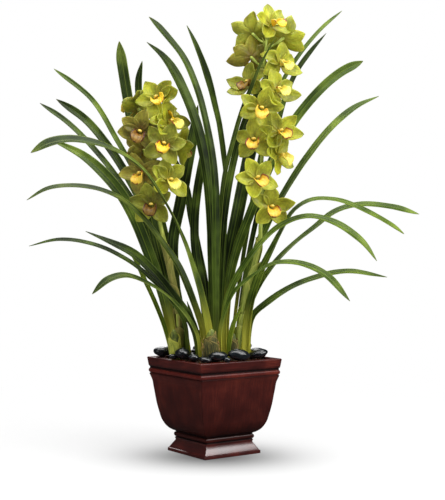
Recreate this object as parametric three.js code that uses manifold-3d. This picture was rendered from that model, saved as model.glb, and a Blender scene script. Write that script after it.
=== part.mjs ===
// A cymbidium orchid in a square mahogany planter: strap leaves in three fans, two flower spikes
// and black river pebbles over the potting mix. Millimetres, +Z up. The origin is the middle of the
// plinth's underside, and the planter's faces look along X and Y. The plant stands turned in it.
import * as THREE from 'three';
import { mergeVertices } from 'three/addons/utils/BufferGeometryUtils.js';
import Module from 'manifold-3d';

const wasm = await Module();
wasm.setup();

// Driving dimensions.
const rimHalf = 101.6;          // half of the planter's side, across the rim: a nominal 8 inches
const planterHeight = 197;
const wall = 9;                 // thickness of the bowl's walls
const gap = 0.4;                // left between pieces that touch
const linerWall = 1.6;
const mixTop = 194;             // height of the potting mix's flat top
const plantTurnDegrees = -35.24; // the plant's own X axis from the planter's
const leafThickness = 1.6;
const leafTip = 2;              // width of a leaf's tip
const leafFold = 0.22;          // how far a leaf's edges rise from its midrib, for each mm of half width
const tepalThickness = 1.8;
const flowerReach = 45.5;       // from a flower's middle to a tepal's tip
const tepalWidth = 31;
const rachisFoot = 5.5;         // radius of a spike's main stalk at its foot
const rachisTip = 3;
const pedicelRadius = 2.4;      // of the short stalk behind a flower

const up = new THREE.Vector3(0, 0, 1);
const radians = THREE.MathUtils.degToRad;

const finish = (color, roughness, metalness = 0) =>
  () => new THREE.MeshStandardMaterial({ color, roughness, metalness });
const mahogany = finish(0x4a1e1a, 0.32);
const mahoganyDark = finish(0x3a1512, 0.34);
const blackPlastic = finish(0x1c1c1d, 0.55);
const bark = finish(0x3b2a1c, 0.95);
const riverStone = finish(0x14181c, 0.18);
const fibre = finish(0xb7b77a, 0.9);
const leafGreen = finish(0x4c6b2a, 0.45);
const leafShade = finish(0x35491f, 0.5);
const bulbGreen = finish(0x8a8f3c, 0.6);
const flowerGreen = finish(0xaab436, 0.5);

// --- Solids -------------------------------------------------------------------------------------

// A closed geometry as a solid for joining and cutting.
function toSolid(geometry) {
  const bare = geometry.clone();
  bare.deleteAttribute('normal');
  bare.deleteAttribute('uv');
  const merged = mergeVertices(bare, 1e-4);
  return new wasm.Manifold(new wasm.Mesh({
    numProp: 3,
    vertProperties: new Float32Array(merged.attributes.position.array),
    triVerts: new Uint32Array(merged.index.array),
  }));
}

function toGeometry(solid) {
  const mesh = solid.getMesh();
  const geometry = new THREE.BufferGeometry();
  geometry.setAttribute('position', new THREE.BufferAttribute(mesh.vertProperties, 3));
  geometry.setIndex(new THREE.BufferAttribute(mesh.triVerts, 1));
  return geometry;
}

function namedMesh(name, geometry, material) {
  const mesh = new THREE.Mesh(geometry, material());
  mesh.name = name;
  return mesh;
}

// Bends a closed geometry, one unit long in Z, along a curve. The blade's flat starts level and
// square to the way the curve heads, and rolls(t) turns it about the curve. shape(x, y, t) gives how
// far the point at x, y stands off the curve, along the flat and square to it.
function bendAlong(geometry, curve, shape, rolls = () => 0) {
  const ends = curve.getPointAt(1).sub(curve.getPointAt(0)).setZ(0);
  const heading = ends.length() > 1 ? ends.normalize() : new THREE.Vector3(1, 0, 0);
  const level = new THREE.Vector3().crossVectors(up, heading);
  const spots = geometry.attributes.position;
  for (let i = 0; i < spots.count; i += 1) {
    const t = THREE.MathUtils.clamp(spots.getZ(i) + 0.5, 0, 1);
    const tangent = curve.getTangentAt(t);
    const side = level.clone().addScaledVector(tangent, -level.dot(tangent)).normalize();
    side.applyAxisAngle(tangent, rolls(t));
    const normal = new THREE.Vector3().crossVectors(tangent, side);
    const [across, off] = shape(spots.getX(i), spots.getY(i), t);
    const spot = curve.getPointAt(t).addScaledVector(side, across).addScaledVector(normal, off);
    spots.setXYZ(i, spot.x, spot.y, spot.z);
  }
  return geometry;
}

const routeOf = (points) =>
  new THREE.CatmullRomCurve3(points.map((p) => new THREE.Vector3(...p)), false, 'centripetal');

// --- Planter ------------------------------------------------------------------------------------

// A square piece from its outline, given as [half side, height] from the bottom up.
function squareTurned(outline) {
  const corner = Math.SQRT2; // a four-sided lathe's radius reaches its corners
  const profile = outline.map(([half, height]) => new THREE.Vector2(half * corner, height));
  return new THREE.LatheGeometry(profile, 4).rotateX(Math.PI / 2).rotateZ(Math.PI / 4);
}

const rimFoot = 177;            // where the rim moulding meets the bowl
const neckHeight = 42;          // where the bowl meets the collar
const plinthTop = 29.5;         // where the collar meets the plinth
const bowlFloor = 56;           // top of the bowl's floor
const floorHalf = 56;           // half of the floor's side
const mouthHalf = rimHalf - 13.6; // half of the opening inside the rim
const insideHeights = [119, 80, 66]; // where the inner walls change slope, from the top down

const rimOutline = [
  [mouthHalf, rimFoot + gap], [rimHalf - 3, rimFoot + gap], [rimHalf - 2.7, 179],
  [rimHalf - 0.2, 194.5], [rimHalf, planterHeight], [mouthHalf, planterHeight],
  [mouthHalf, rimFoot + gap],
];
// A belly, a cove under the bead, the bead itself and a groove under the rim.
const bowlOutside = [
  [58.8, neckHeight + gap], [63, 44.2], [68.2, 47.8], [72, 52], [76.7, 60], [80, 68], [83.1, 80],
  [86.2, 96], [88.7, 112], [90.4, 124], [92.1, 136], [93.7, 148], [94.8, 152], [97.8, 160.5],
  [97.2, 163], [98.7, 164.8], [99.2, 168.5], [98.7, 173], [96.4, 174.8], [96.4, rimFoot],
];
const collarOutline = [
  [0, plinthTop + gap], [58.2, plinthTop + gap], [60, 31], [60.9, 33], [60.9, 36], [60.2, 38.5],
  [58.6, neckHeight], [0, neckHeight],
];
const plinthOutline = [
  [0, 0], [70.4, 0], [70.4, 6.2], [69.4, 7.4], [58.2, 24.6], [58.2, plinthTop], [0, plinthTop],
];

// Half of the bowl's side at a height, across its outside.
function bowlHalf(height) {
  const above = bowlOutside.findIndex(([, level]) => level > height);
  const [[lowHalf, low], [highHalf, high]] = bowlOutside.slice(above - 1, above + 1);
  return THREE.MathUtils.lerp(lowHalf, highHalf, (height - low) / (high - low));
}

// The inner walls from the mouth down, moved in by an inset.
function innerWalls(inset) {
  const slopes = insideHeights.map((height) => [bowlHalf(height) - wall - inset, height]);
  return [[mouthHalf - inset, rimFoot], ...slopes];
}

function makePlanter() {
  const bowlOutline = [
    [0, neckHeight + gap], ...bowlOutside, ...innerWalls(0), [floorHalf, bowlFloor],
    [0, bowlFloor],
  ];
  return [
    namedMesh('planter_plinth', squareTurned(plinthOutline), mahoganyDark),
    namedMesh('planter_collar', squareTurned(collarOutline), mahoganyDark),
    namedMesh('planter_bowl', squareTurned(bowlOutline), mahogany),
    namedMesh('planter_rim', squareTurned(rimOutline), mahogany),
  ];
}

// The liner follows the bowl's inside, and the mix follows the liner's.
const linerInset = 1;
const linerTop = planterHeight - 9;
const linerFloor = bowlFloor + gap;

function makeLiner() {
  const lip = mouthHalf - linerInset;
  const outline = [
    [0, linerFloor], [floorHalf - linerInset, linerFloor],
    ...innerWalls(linerInset).reverse(), [lip, linerTop], [lip - linerWall, linerTop],
    ...innerWalls(linerInset + linerWall), [floorHalf - linerInset, linerFloor + linerWall],
    [0, linerFloor + linerWall],
  ];
  return namedMesh('plastic_liner', squareTurned(outline), blackPlastic);
}

function makeMix() {
  const inset = linerInset + linerWall + gap;
  const shoulder = linerTop - 5; // the mix rises from here to its flat top
  const bottom = linerFloor + linerWall + gap;
  const outline = [
    [0, bottom], [floorHalf - inset, bottom], ...innerWalls(inset).reverse(),
    [mouthHalf - inset, shoulder], [mouthHalf - 10, mixTop], [0, mixTop],
  ];
  return namedMesh('bark_mix', squareTurned(outline), bark);
}

// --- Stones, bulbs and fibre, in the plant's own frame -----------------------------------------

function ellipsoid(x, y, z, length, depth, height, turn = 0, lean = 0, rows = 5) {
  return new THREE.SphereGeometry(0.5, 9, rows)
    .rotateX(Math.PI / 2).scale(length, depth, height)
    .rotateY(radians(lean)).rotateZ(radians(turn)).translate(x, y, z);
}

// Each pebble: x, y, height of its middle, length, depth, height, turn in degrees.
const pebbles = [
  [-109, 14, 209, 36, 27, 20, 8], [-90, 44, 209, 34, 24, 20, 35],
  [-63, -52, 210, 34, 26, 22, -30], [-38, -84, 207, 32, 24, 18, -50],
  [-13, -109, 206, 30, 24, 18, 0], [15, -93, 208, 40, 28, 21, 28],
  [53, -72, 210.5, 46, 31, 25, 42], [94, -36, 209, 40, 28, 18, 24],
  [96, 8, 206, 34, 26, 18, -60], [92, 40, 206.5, 32, 26, 17, -40],
  [62, 76, 212, 42, 27, 20, -28], [16, 104, 208, 37, 27, 20, -20],
  [-30, 92, 208, 37, 28, 20, 35], [-4, 70, 205, 34, 26, 19, 10],
];

function makePebbles() {
  return pebbles.map(([x, y, z, length, depth, height, turn], i) =>
    namedMesh(`pebble_${i + 1}`, ellipsoid(x, y, z, length, depth, height, turn), riverStone));
}

// Each bulb: name, x, y, width, depth, height, lean in degrees.
const bulbs = [
  ['left_bulb', -77, -30, 25, 21, 72, -5],
  ['middle_bulb', -6, -74, 34, 23, 76, 2],
  ['right_bulb', 36, -34, 22, 20, 62, 6],
  ['back_bulb', -22, 40, 28, 24, 74, 0],
];

function makeBulbs() {
  return bulbs.map(([name, x, y, width, depth, height, lean]) => {
    const z = mixTop + gap + height / 2;
    return namedMesh(name, ellipsoid(x, y, z, width, depth, height, 0, lean, 7), bulbGreen);
  });
}

function makeTuft() {
  return namedMesh('fibre_tuft', ellipsoid(64, 52, 207, 15, 13, 25), fibre);
}

// --- Leaves -------------------------------------------------------------------------------------

// Each leaf: name, width, length of its tapered tip, roll in degrees at its foot, half way and at its
// tip, and its route from foot to tip in the plant's own frame, X to the right, Y to the back.
const leaves = [
  ['left_leaf_1', 10, 60, -60, -60, -60, [-88, 6, 196], [-105, 6, 264], [-123, 4, 311],
    [-144, 2, 357], [-163, 3, 397], [-180, 6, 424]],
  ['left_leaf_2', 16, 58, -60, -32, -32, [-53, -26, 196], [-61, -29, 273], [-90, -30, 321],
    [-131, -32, 364], [-183, -26, 403], [-247, -15, 432], [-322, 0, 443], [-388, 10, 430]],
  ['left_leaf_3', 24, 165, -75, -65, -60, [-80, 17, 196], [-97, 24, 284], [-114, 34, 347],
    [-143, 45, 426], [-176, 58, 501], [-214, 72, 560], [-281, 90, 624], [-364, 110, 667]],
  ['left_leaf_4', 13, 50, -60, -50, -45, [-70, 36, 196], [-92, 50, 315], [-127, 70, 422],
    [-161, 88, 502], [-206, 106, 571], [-264, 130, 643], [-326, 150, 705], [-391, 165, 751]],
  ['left_leaf_5', 18, 58, -70, -60, -63, [-61, 44, 196], [-83, 62, 314], [-113, 90, 422],
    [-152, 115, 510], [-198, 140, 595], [-245, 162, 664], [-292, 182, 717], [-360, 200, 765]],
  ['left_leaf_6', 12, 50, -60, -50, -45, [-51, 52, 196], [-73, 76, 314], [-101, 105, 422],
    [-138, 135, 521], [-177, 158, 596], [-220, 178, 670], [-278, 200, 763], [-368, 220, 837]],
  ['left_leaf_7', 24, 48, -60, -60, -70, [-66, 26, 196], [-85, 42, 294], [-107, 56, 379],
    [-134, 72, 486], [-161, 85, 606], [-184, 108, 728], [-199, 120, 814], [-210, 128, 883]],
  ['left_leaf_8', 17, 54, -60, -60, -60, [-57, 34, 196], [-71, 52, 304], [-95, 74, 411],
    [-122, 98, 520], [-148, 122, 631], [-165, 145, 744], [-168, 152, 801], [-161, 155, 844]],
  ['left_leaf_9', 27, 90, -10, -10, -20, [-56, 8, 196], [-73, 14, 295], [-84, 24, 379],
    [-85, 32, 443], [-72, 44, 511], [-58, 58, 583], [-45, 74, 659], [-35, 90, 737]],
  ['left_leaf_10', 21, 125, -60, -62, -30, [-31, -14, 196], [-39, -17, 251], [-53, -18, 283],
    [-74, -19, 312], [-95, -20, 339], [-126, -16, 376], [-170, -8, 415], [-220, 4, 439],
    [-270, 16, 461]],
  ['left_leaf_11', 12, 60, -60, -60, -60, [-34, 3, 196], [-41, 2, 254], [-48, 1, 286],
    [-56, 0, 315]],
  ['middle_leaf_1', 24, 27, -60, -10, -48, [-28, -58, 196], [-34, -62, 243], [-52, -70, 282],
    [-88, -82, 323], [-127, -95, 351], [-174, -110, 370], [-208, -125, 362], [-238, -140, 335]],
  ['middle_leaf_2', 20, 54, -75, -30, -24, [-16, -40, 196], [-24, -42, 257], [-44, -45, 319],
    [-75, -46, 391], [-110, -56, 442], [-151, -66, 493], [-202, -68, 532], [-271, -68, 550],
    [-330, -80, 545], [-375, -90, 522]],
  ['middle_leaf_3', 27, 50, -75, -12, -44, [-5, -50, 196], [-11, -52, 254], [-25, -62, 320],
    [-47, -76, 397], [-73, -86, 468], [-107, -96, 532], [-146, -106, 585], [-205, -120, 622],
    [-277, -142, 637], [-319, -152, 630], [-355, -160, 611]],
  ['middle_leaf_4', 19, 90, -20, -20, -20, [-12, 2, 196], [-16, 8, 275], [-25, 14, 348],
    [-38, 20, 422], [-40, 26, 485], [-34, 34, 549], [-23, 44, 614], [-15, 54, 679]],
  ['middle_leaf_5', 27, 105, -70, -66, -56, [-4, -14, 196], [-4, -14, 276], [-4, -13, 380],
    [-6, -12, 474], [-14, -10, 568], [-29, -12, 651], [-51, -16, 721], [-80, -25, 784],
    [-106, -35, 821], [-137, -45, 848]],
  ['middle_leaf_6', 20, 33, -70, -62, -48, [1, -34, 196], [3, -36, 278], [3, -38, 381],
    [4, -40, 483], [-1, -42, 586], [-16, -45, 678], [-36, -50, 753], [-62, -56, 812],
    [-93, -62, 853], [-131, -68, 895]],
  ['middle_leaf_7', 32, 120, -60, -40, -54, [7, 16, 196], [9, 20, 295], [13, 26, 401],
    [19, 30, 496], [21, 31, 580], [11, 26, 664], [-6, 16, 747], [-23, 6, 802], [-39, -4, 849],
    [-56, -12, 889]],
  ['middle_leaf_8', 13, 190, 80, 90, 100, [9, -22, 196], [8, -23, 276], [9, -25, 380],
    [13, -28, 484], [23, -32, 576], [38, -34, 638], [58, -36, 706], [79, -52, 759],
    [98, -70, 803], [126, -84, 851]],
  ['middle_leaf_9', 15, 60, 40, 50, 70, [15, 2, 196], [13, 0, 275], [15, 0, 380], [21, 4, 474],
    [34, 14, 569], [51, 26, 644], [72, 36, 709], [94, 42, 756], [113, 45, 791], [130, 47, 812]],
  ['middle_leaf_10', 28, 90, 70, 70, 70, [13, 42, 196], [17, 50, 293], [30, 60, 400],
    [45, 68, 476], [60, 78, 551], [76, 88, 628], [94, 98, 701], [114, 108, 768]],
  ['middle_leaf_11', 15, 80, -60, -60, -60, [-7, 24, 196], [-12, 32, 284], [-19, 40, 352],
    [-33, 52, 422], [-49, 66, 496], [-58, 82, 549], [-78, 92, 603], [-96, 98, 640]],
  ['right_leaf_1', 20, 50, 65, 24, 46, [15, -66, 196], [15, -68, 249], [23, -72, 290],
    [44, -78, 337], [80, -88, 369], [123, -102, 394], [172, -120, 394], [220, -138, 373],
    [267, -155, 322]],
  ['right_leaf_2', 27, 58, 70, 32, 24, [25, -40, 196], [23, -42, 268], [32, -46, 325],
    [54, -52, 373], [91, -60, 426], [135, -70, 468], [189, -84, 488], [244, -98, 474],
    [292, -112, 440], [324, -122, 400]],
  ['right_leaf_3', 20, 36, 60, 62, 75, [24, 22, 196], [28, 30, 295], [34, 36, 358], [51, 44, 428],
    [73, 52, 486], [99, 60, 551], [127, 68, 616], [169, 78, 694], [226, 86, 765], [274, 92, 807],
    [325, 98, 834]],
  ['right_leaf_4', 10, 50, 60, 50, 45, [36, 46, 196], [47, 54, 293], [62, 64, 400], [78, 72, 497],
    [93, 80, 584], [111, 88, 672], [130, 94, 748], [155, 98, 799], [188, 102, 850],
    [232, 106, 903], [280, 110, 946]],
  ['right_leaf_5', 11, 80, 60, 55, 60, [47, 38, 196], [56, 48, 294], [71, 58, 390], [90, 68, 482],
    [108, 78, 556], [124, 86, 617], [139, 96, 694], [155, 104, 754], [180, 112, 812],
    [211, 118, 857], [247, 124, 900]],
  ['right_leaf_6', 21, 92, 75, 25, 35, [55, 18, 196], [62, 24, 274], [75, 32, 358], [94, 40, 426],
    [120, 48, 486], [152, 56, 544], [196, 64, 613], [250, 72, 681], [305, 78, 729],
    [357, 82, 755]],
  ['right_leaf_7', 17, 52, 35, 20, 54, [63, -2, 196], [70, 4, 275], [89, 10, 331], [123, 18, 386],
    [165, 25, 430], [215, 32, 470], [258, 40, 503], [312, 50, 518], [378, 60, 514],
    [442, 70, 499]],
  ['right_leaf_8', 27, 33, 75, 18, 20, [67, -20, 196], [71, -18, 266], [80, -16, 318],
    [100, -14, 376], [123, -14, 422], [144, -16, 463], [169, -20, 503], [203, -26, 523],
    [250, -34, 523], [311, -44, 500], [389, -56, 454]],
  ['right_leaf_9', 16, 75, 60, 34, 38, [74, 10, 196], [74, 12, 243], [83, 16, 283],
    [110, 22, 308], [161, 32, 341], [215, 42, 362], [281, 56, 375], [374, 76, 363]],
  ['right_leaf_10', 12, 50, 60, 60, 60, [32, -56, 196], [34, -58, 240], [44, -60, 278],
    [58, -62, 306]],
];

function makeLeaf([name, width, tipLength, footRoll, midRoll, tipRoll, ...points]) {
  const steps = points.length > 7 ? 9 : 8;
  const blade = new THREE.BoxGeometry(1, 1, 1, 2, 1, steps);
  const spots = blade.attributes.position;
  for (let i = 0; i < spots.count; i += 1) {
    const left = THREE.MathUtils.clamp(0.5 - spots.getZ(i), 0, 1);
    spots.setZ(i, 0.5 - left ** 1.5); // the steps close up towards the tip
  }
  const curve = routeOf(points);
  const length = curve.getLength();
  // Narrow where it clasps the bulb, even along most of its length, then a rounded taper.
  const shape = (x, y, t) => {
    const waist = Math.min(1, 0.6 + 1.2 * t);
    const share = Math.min(1, (1 - t) * length / tipLength);
    const taper = Math.sin(share * Math.PI / 2) ** 0.8;
    const across = x * Math.max(leafTip, width * waist * taper);
    return [across, y * leafThickness + leafFold * Math.abs(across)];
  };
  const rolls = (t) => radians(t < 0.5
    ? THREE.MathUtils.lerp(footRoll, midRoll, 2 * t)
    : THREE.MathUtils.lerp(midRoll, tipRoll, 2 * t - 1));
  const color = width > 20 ? leafShade : leafGreen;
  return namedMesh(name, bendAlong(blade, curve, shape, rolls), color);
}

// --- Flower spikes ------------------------------------------------------------------------------

// A round stalk along a curve, from one radius to another.
function stalk(curve, footRadius, tipRadius, sides, steps) {
  const rod = new THREE.CylinderGeometry(1, 1, 1, sides, steps).rotateX(Math.PI / 2);
  const shape = (x, y, t) => {
    const radius = THREE.MathUtils.lerp(footRadius, tipRadius, t);
    return [x * radius, y * radius];
  };
  return bendAlong(rod, curve, shape);
}

// A thin curved plate. place(across, along) gives its middle sheet, with across from -1 to 1 and
// along from 0 to 1.
function curvedPlate(columns, rows, thickness, place) {
  const sheet = new THREE.BoxGeometry(2, 1, 1, columns, 1, rows);
  const spots = sheet.attributes.position;
  const near = 0.01;
  for (let i = 0; i < spots.count; i += 1) {
    const across = spots.getX(i);
    const along = spots.getZ(i) + 0.5;
    const sideways = place(across + near, along).sub(place(across - near, along));
    const onward = place(across, along + near).sub(place(across, along - near));
    const normal = new THREE.Vector3().crossVectors(onward, sideways).normalize();
    const spot = place(across, along).addScaledVector(normal, spots.getY(i) * thickness);
    spots.setXYZ(i, spot.x, spot.y, spot.z);
  }
  return sheet;
}

// A tepal, from its foot beside the column to its tip. curl is how far its tip comes forward.
function tepal(degrees, share, stand, curl) {
  const foot = 2.5;
  const dish = 4.5;         // how far the feet lie behind the flower's middle
  const cup = 4.5;          // how far the edges rise
  const turn = radians(degrees);
  return curvedPlate(2, 3, tepalThickness, (across, along) => {
    const t = THREE.MathUtils.clamp(along, 0, 1);
    const outline = Math.max(0.38 * (1 - t), Math.sin(Math.PI * t ** 0.85) ** 0.62 || 0);
    const off = across * Math.max(1, 0.5 * tepalWidth * share * outline);
    const out = THREE.MathUtils.lerp(foot, flowerReach, along);
    const rise = cup * across ** 2 * Math.sin(Math.PI * Math.min(1, 1.1 * t));
    return new THREE.Vector3(
      curl * t ** 2.1 - dish + stand + rise,
      Math.cos(turn) * out - Math.sin(turn) * off,
      Math.sin(turn) * out + Math.cos(turn) * off,
    );
  });
}

// The lip runs out under the column as a trough, opens into a broad front lobe and rolls down.
function makeLip() {
  const length = 33;
  const throat = 5;         // radius of the trough where it starts and where it opens
  const mouth = 14;
  const wrap = 1.85;        // half of the trough's arc, in radians
  const lobeHalf = 15;
  const middleAt = (along) => {
    const spot = new THREE.Vector3(-2, 0, -5);
    const steps = 12;
    let rise = up;
    for (let i = 0; i < steps; i += 1) {
      const slope = -radians(4 + 98 * (along * i / steps) ** 1.6);
      spot.x += Math.cos(slope) * length * along / steps;
      spot.z += Math.sin(slope) * length * along / steps;
      rise = new THREE.Vector3(-Math.sin(slope), 0, Math.cos(slope));
    }
    return [spot, rise];
  };
  return curvedPlate(4, 3, 1.8, (across, place) => {
    const along = THREE.MathUtils.clamp(place, 0, 1.02);
    const [spot, rise] = middleAt(along);
    const radius = throat + (mouth - throat) * THREE.MathUtils.smoothstep(along, 0, 0.5);
    const opened = THREE.MathUtils.smoothstep(along, 0.42, 0.74);
    const trough = [radius * Math.sin(wrap * across), radius * (1 - Math.cos(wrap * across))];
    const lobe = lobeHalf * (1 - 2.4 * Math.max(0, along - 0.72));
    spot.y += THREE.MathUtils.lerp(trough[0], lobe * across, opened);
    return spot.addScaledVector(rise, THREE.MathUtils.lerp(trough[1], -3 * across ** 2, opened));
  });
}

// Five tepals. Each: degrees round the flower, its share of the full width, and how far it stands
// forward: the two petals lie over the three sepals.
const tepals = [[90, 1, 0], [152, 0.86, 2.4], [28, 0.86, 2.4], [212, 1, 0], [328, 1, 0]];

// One flower, facing +X with its top tepal up, its middle at the origin.
function flowerSolid(curls, leans) {
  const column = new THREE.CylinderGeometry(3.6, 6, 22, 4).rotateZ(-Math.PI / 2).translate(5, 0, 0);
  const blades = tepals.map(([angle, share, stand], i) =>
    toSolid(tepal(angle + leans[i], share, stand, curls[i])));
  return wasm.Manifold.union([toSolid(column), toSolid(makeLip()), ...blades]);
}

// Each flower: the place of its middle, the degrees it faces right of the viewer, up and turned, then
// for each tepal how far its tip comes forward and the degrees it leans round the flower.
const leftFlowers = [
  [[-116, -35, 733], [-8, 13, 35], [4, 9, 13, 3, 16], [1, 1, -9, 8, 14]],
  [[-163, 10, 720], [-117, 28, 27], [14, 6, 2, 19, 16], [-4, -2, 0, 12, 9]],
  [[-104, -8, 705], [65, 10, -12], [16, 10, 12, 10, 8], [-4, 0, 2, 3, -6]],
  [[-91, -28, 685], [41, 15, 16], [17, -1, -2, 9, 21], [0, 8, 11, -14, 14]],
  [[-151, -40, 665], [-5, -9, -18], [12, 7, 10, 6, 10], [1, 8, 5, -14, 1]],
  [[-102, -48, 638], [2, 3, -17], [13, 11, 10, 7, 2], [-8, -5, -4, 14, -10]],
  [[-149, -30, 579], [-27, -4, 19], [17, 25, -4, -2, 7], [1, 7, -14, 14, -2]],
  [[-91, -42, 564], [28, 6, 2], [7, 9, 12, 18, 14], [14, -12, 13, -7, -14]],
  [[-127, -44, 514], [-6, -4, -1], [16, 16, -1, 4, 11], [14, 13, 6, 14, -14]],
  [[-153, 16, 631], [-119, 2, 9], [15, 6, 22, 5, 14], [-1, 3, -3, -2, 5]],
  [[-74, 22, 637], [124, 5, 21], [20, 11, 10, 2, 9], [0, 6, 0, 10, 0]],
];
const rightFlowers = [
  [[122, -16, 891], [35, 23, 15], [7, 20, 10, 4, 9], [-13, 4, 5, 1, 2]],
  [[148, 12, 867], [152, 17, 18], [19, 11, 9, 16, -3], [1, 6, 2, -10, -6]],
  [[79, 14, 877], [-148, 18, -14], [9, 8, 23, -2, 6], [9, 5, 4, -2, -2]],
  [[76, 12, 827], [-151, 16, 0], [13, 9, 6, -5, 25], [1, -7, -6, -13, 14]],
  [[140, -6, 811], [35, 10, 0], [14, -2, 2, -2, 25], [-8, 2, -7, -2, 4]],
  [[74, 2, 770], [-36, 14, 7], [15, 25, 5, 25, 19], [-7, 14, 4, -11, -2]],
  [[132, -26, 752], [30, 16, 12], [12, 12, 5, 20, 23], [0, 1, -12, 14, -1]],
  [[96, -48, 712], [12, -7, -20], [14, -1, 21, 14, 4], [1, 14, -2, 8, -14]],
  [[137, -26, 665], [23, 13, 16], [15, 6, 19, 9, 25], [8, -1, -2, -2, 5]],
  [[85, -34, 648], [-15, 2, 1], [19, 6, 15, 3, 3], [5, 5, 5, 14, -14]],
  [[136, -16, 619], [59, -4, 20], [16, -3, 11, 15, 23], [-2, 2, 11, 13, -14]],
  [[89, -46, 568], [17, 8, 24], [15, 6, 8, 19, 7], [7, 0, -2, 14, -13]],
  [[118, -36, 510], [15, -1, -2], [12, 5, 25, 9, 4], [4, 2, -14, 14, -14]],
];
const leftRachis = [
  [-69, -2, 196], [-73, -6, 265], [-79, -8, 328], [-92, -6, 384], [-106, 0, 453], [-117, 0, 505],
  [-123, 0, 568], [-125, 0, 631], [-127, 0, 694], [-125, 0, 740],
];
const rightRachis = [
  [46, -10, 196], [57, -8, 280], [69, -4, 342], [88, 0, 397], [97, 2, 443], [99, 5, 527],
  [101, 5, 600], [103, 5, 673], [107, 5, 747], [107, 5, 820], [112, 5, 887],
];

function pointAtHeight(curve, height) {
  let low = 0;
  let high = 1;
  for (let i = 0; i < 20; i += 1) {
    const middle = (low + high) / 2;
    if (curve.getPointAt(middle).z < height) low = middle;
    else high = middle;
  }
  return curve.getPointAt(low);
}

function makeSpike(name, rachis, flowers) {
  const curve = routeOf(rachis);
  const drop = 22;          // a flower's stalk leaves the spike this far below the flower
  const back = -9;          // where it meets the flower, behind the tepals
  const parts = [toSolid(stalk(curve, rachisFoot, rachisTip, 6, 14))];
  flowers.forEach(([spot, [yaw, pitch, roll], curls, leans]) => {
    const facing = new THREE.Euler(radians(roll), -radians(pitch), radians(yaw - 90), 'ZYX');
    const place = new THREE.Matrix4().makeRotationFromEuler(facing).setPosition(...spot);
    const behind = new THREE.Vector3(back, 0, 0).applyMatrix4(place);
    const root = pointAtHeight(curve, spot[2] - drop);
    const elbow = root.clone().lerp(behind, 0.5).setZ(spot[2] - drop * 0.7);
    const route = [root, elbow, behind, new THREE.Vector3(...spot)].map((p) => p.toArray());
    parts.push(toSolid(stalk(routeOf(route), pedicelRadius, pedicelRadius, 4, 3)));
    parts.push(flowerSolid(curls, leans).transform(place.elements));
  });
  return namedMesh(name, toGeometry(wasm.Manifold.union(parts)), flowerGreen);
}

// --- The whole ----------------------------------------------------------------------------------

const plant = new THREE.Group();
plant.rotation.z = radians(plantTurnDegrees);
plant.add(...makePebbles(), ...makeBulbs(), makeTuft(), ...leaves.map(makeLeaf));
plant.add(makeSpike('left_flower_spike', leftRachis, leftFlowers));
plant.add(makeSpike('right_flower_spike', rightRachis, rightFlowers));

const pottedOrchid = new THREE.Group();
pottedOrchid.add(...makePlanter(), makeLiner(), makeMix(), plant);

export default pottedOrchid;
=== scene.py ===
# Potted cymbidium: strap leaves in three fans, two flower spikes, river pebbles, mahogany planter.
import math
import random
from functools import partial

import bmesh
import bpy
from mathutils import Euler, Matrix, Vector, noise


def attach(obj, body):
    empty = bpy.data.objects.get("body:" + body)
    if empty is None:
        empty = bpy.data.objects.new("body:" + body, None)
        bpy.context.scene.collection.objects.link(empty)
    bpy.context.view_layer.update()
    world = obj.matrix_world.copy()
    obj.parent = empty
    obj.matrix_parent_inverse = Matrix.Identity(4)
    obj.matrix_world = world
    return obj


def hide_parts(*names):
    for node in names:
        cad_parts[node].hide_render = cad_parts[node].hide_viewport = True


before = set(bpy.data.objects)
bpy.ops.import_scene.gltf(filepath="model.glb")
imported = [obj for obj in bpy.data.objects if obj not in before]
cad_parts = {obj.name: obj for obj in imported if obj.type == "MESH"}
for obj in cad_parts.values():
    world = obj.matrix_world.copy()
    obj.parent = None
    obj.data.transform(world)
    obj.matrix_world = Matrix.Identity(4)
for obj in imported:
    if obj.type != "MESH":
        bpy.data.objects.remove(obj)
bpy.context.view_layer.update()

print("frame loaded,", len(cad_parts), "nodes")

mm = 0.001
plantTurn = math.radians(-35.24)  # the plant stands turned in its planter: its X runs to the viewer's right
plantToPart = Matrix.Rotation(plantTurn, 4, "Z") @ Matrix.Scale(mm, 4)


def hexColor(text):
    values = [int(text[i:i + 2], 16) / 255 for i in (1, 3, 5)]
    return (*[v / 12.92 if v <= 0.04045 else ((v + 0.055) / 1.055) ** 2.4 for v in values], 1.0)


def feed(tree, target, *values, **named):
    # Inputs go in order, or by name with From_Min for From Min. A node stands for its first output, and
    # text with a # for a colour.
    for key, value in [*enumerate(values), *named.items()]:
        if isinstance(key, int):
            socket = target.inputs[key]
        else:
            socket = next(s for s in target.inputs if s.name.replace(" ", "_") == key and s.enabled)
        if isinstance(value, str) and value.startswith("#"):
            value = hexColor(value)
        if isinstance(value, bpy.types.Node):
            value = next(s for s in value.outputs if s.enabled)
        if isinstance(value, bpy.types.NodeSocket):
            tree.links.new(value, socket)
        else:
            socket.default_value = value


def setStops(ramp, stops):
    # stops: place from 0 to 1, sRGB hex.
    marks = ramp.color_ramp.elements
    while len(marks) < len(stops):
        marks.new(0.5)
    for mark, (place, color) in zip(marks, stops):
        mark.position = place
        mark.color = hexColor(color)


def addNode(tree, kind, *values, **named):
    # A kind may carry its operation, as Math.ADD does. A name with a capital is an input, and any other
    # is a setting of the node.
    kind, _, operation = kind.partition(".")
    families = ("ShaderNode", "GeometryNode", "FunctionNode", "")
    made = tree.nodes.new(next(f + kind for f in families if hasattr(bpy.types, f + kind)))
    if operation:
        made.operation = operation
    inputs = {}
    for name, value in named.items():
        if name[0].isupper():
            inputs[name] = value
        elif name == "stops":
            setStops(made, value)
        else:
            setattr(made, name, value)
    feed(tree, made, *values, **inputs)
    return made


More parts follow.
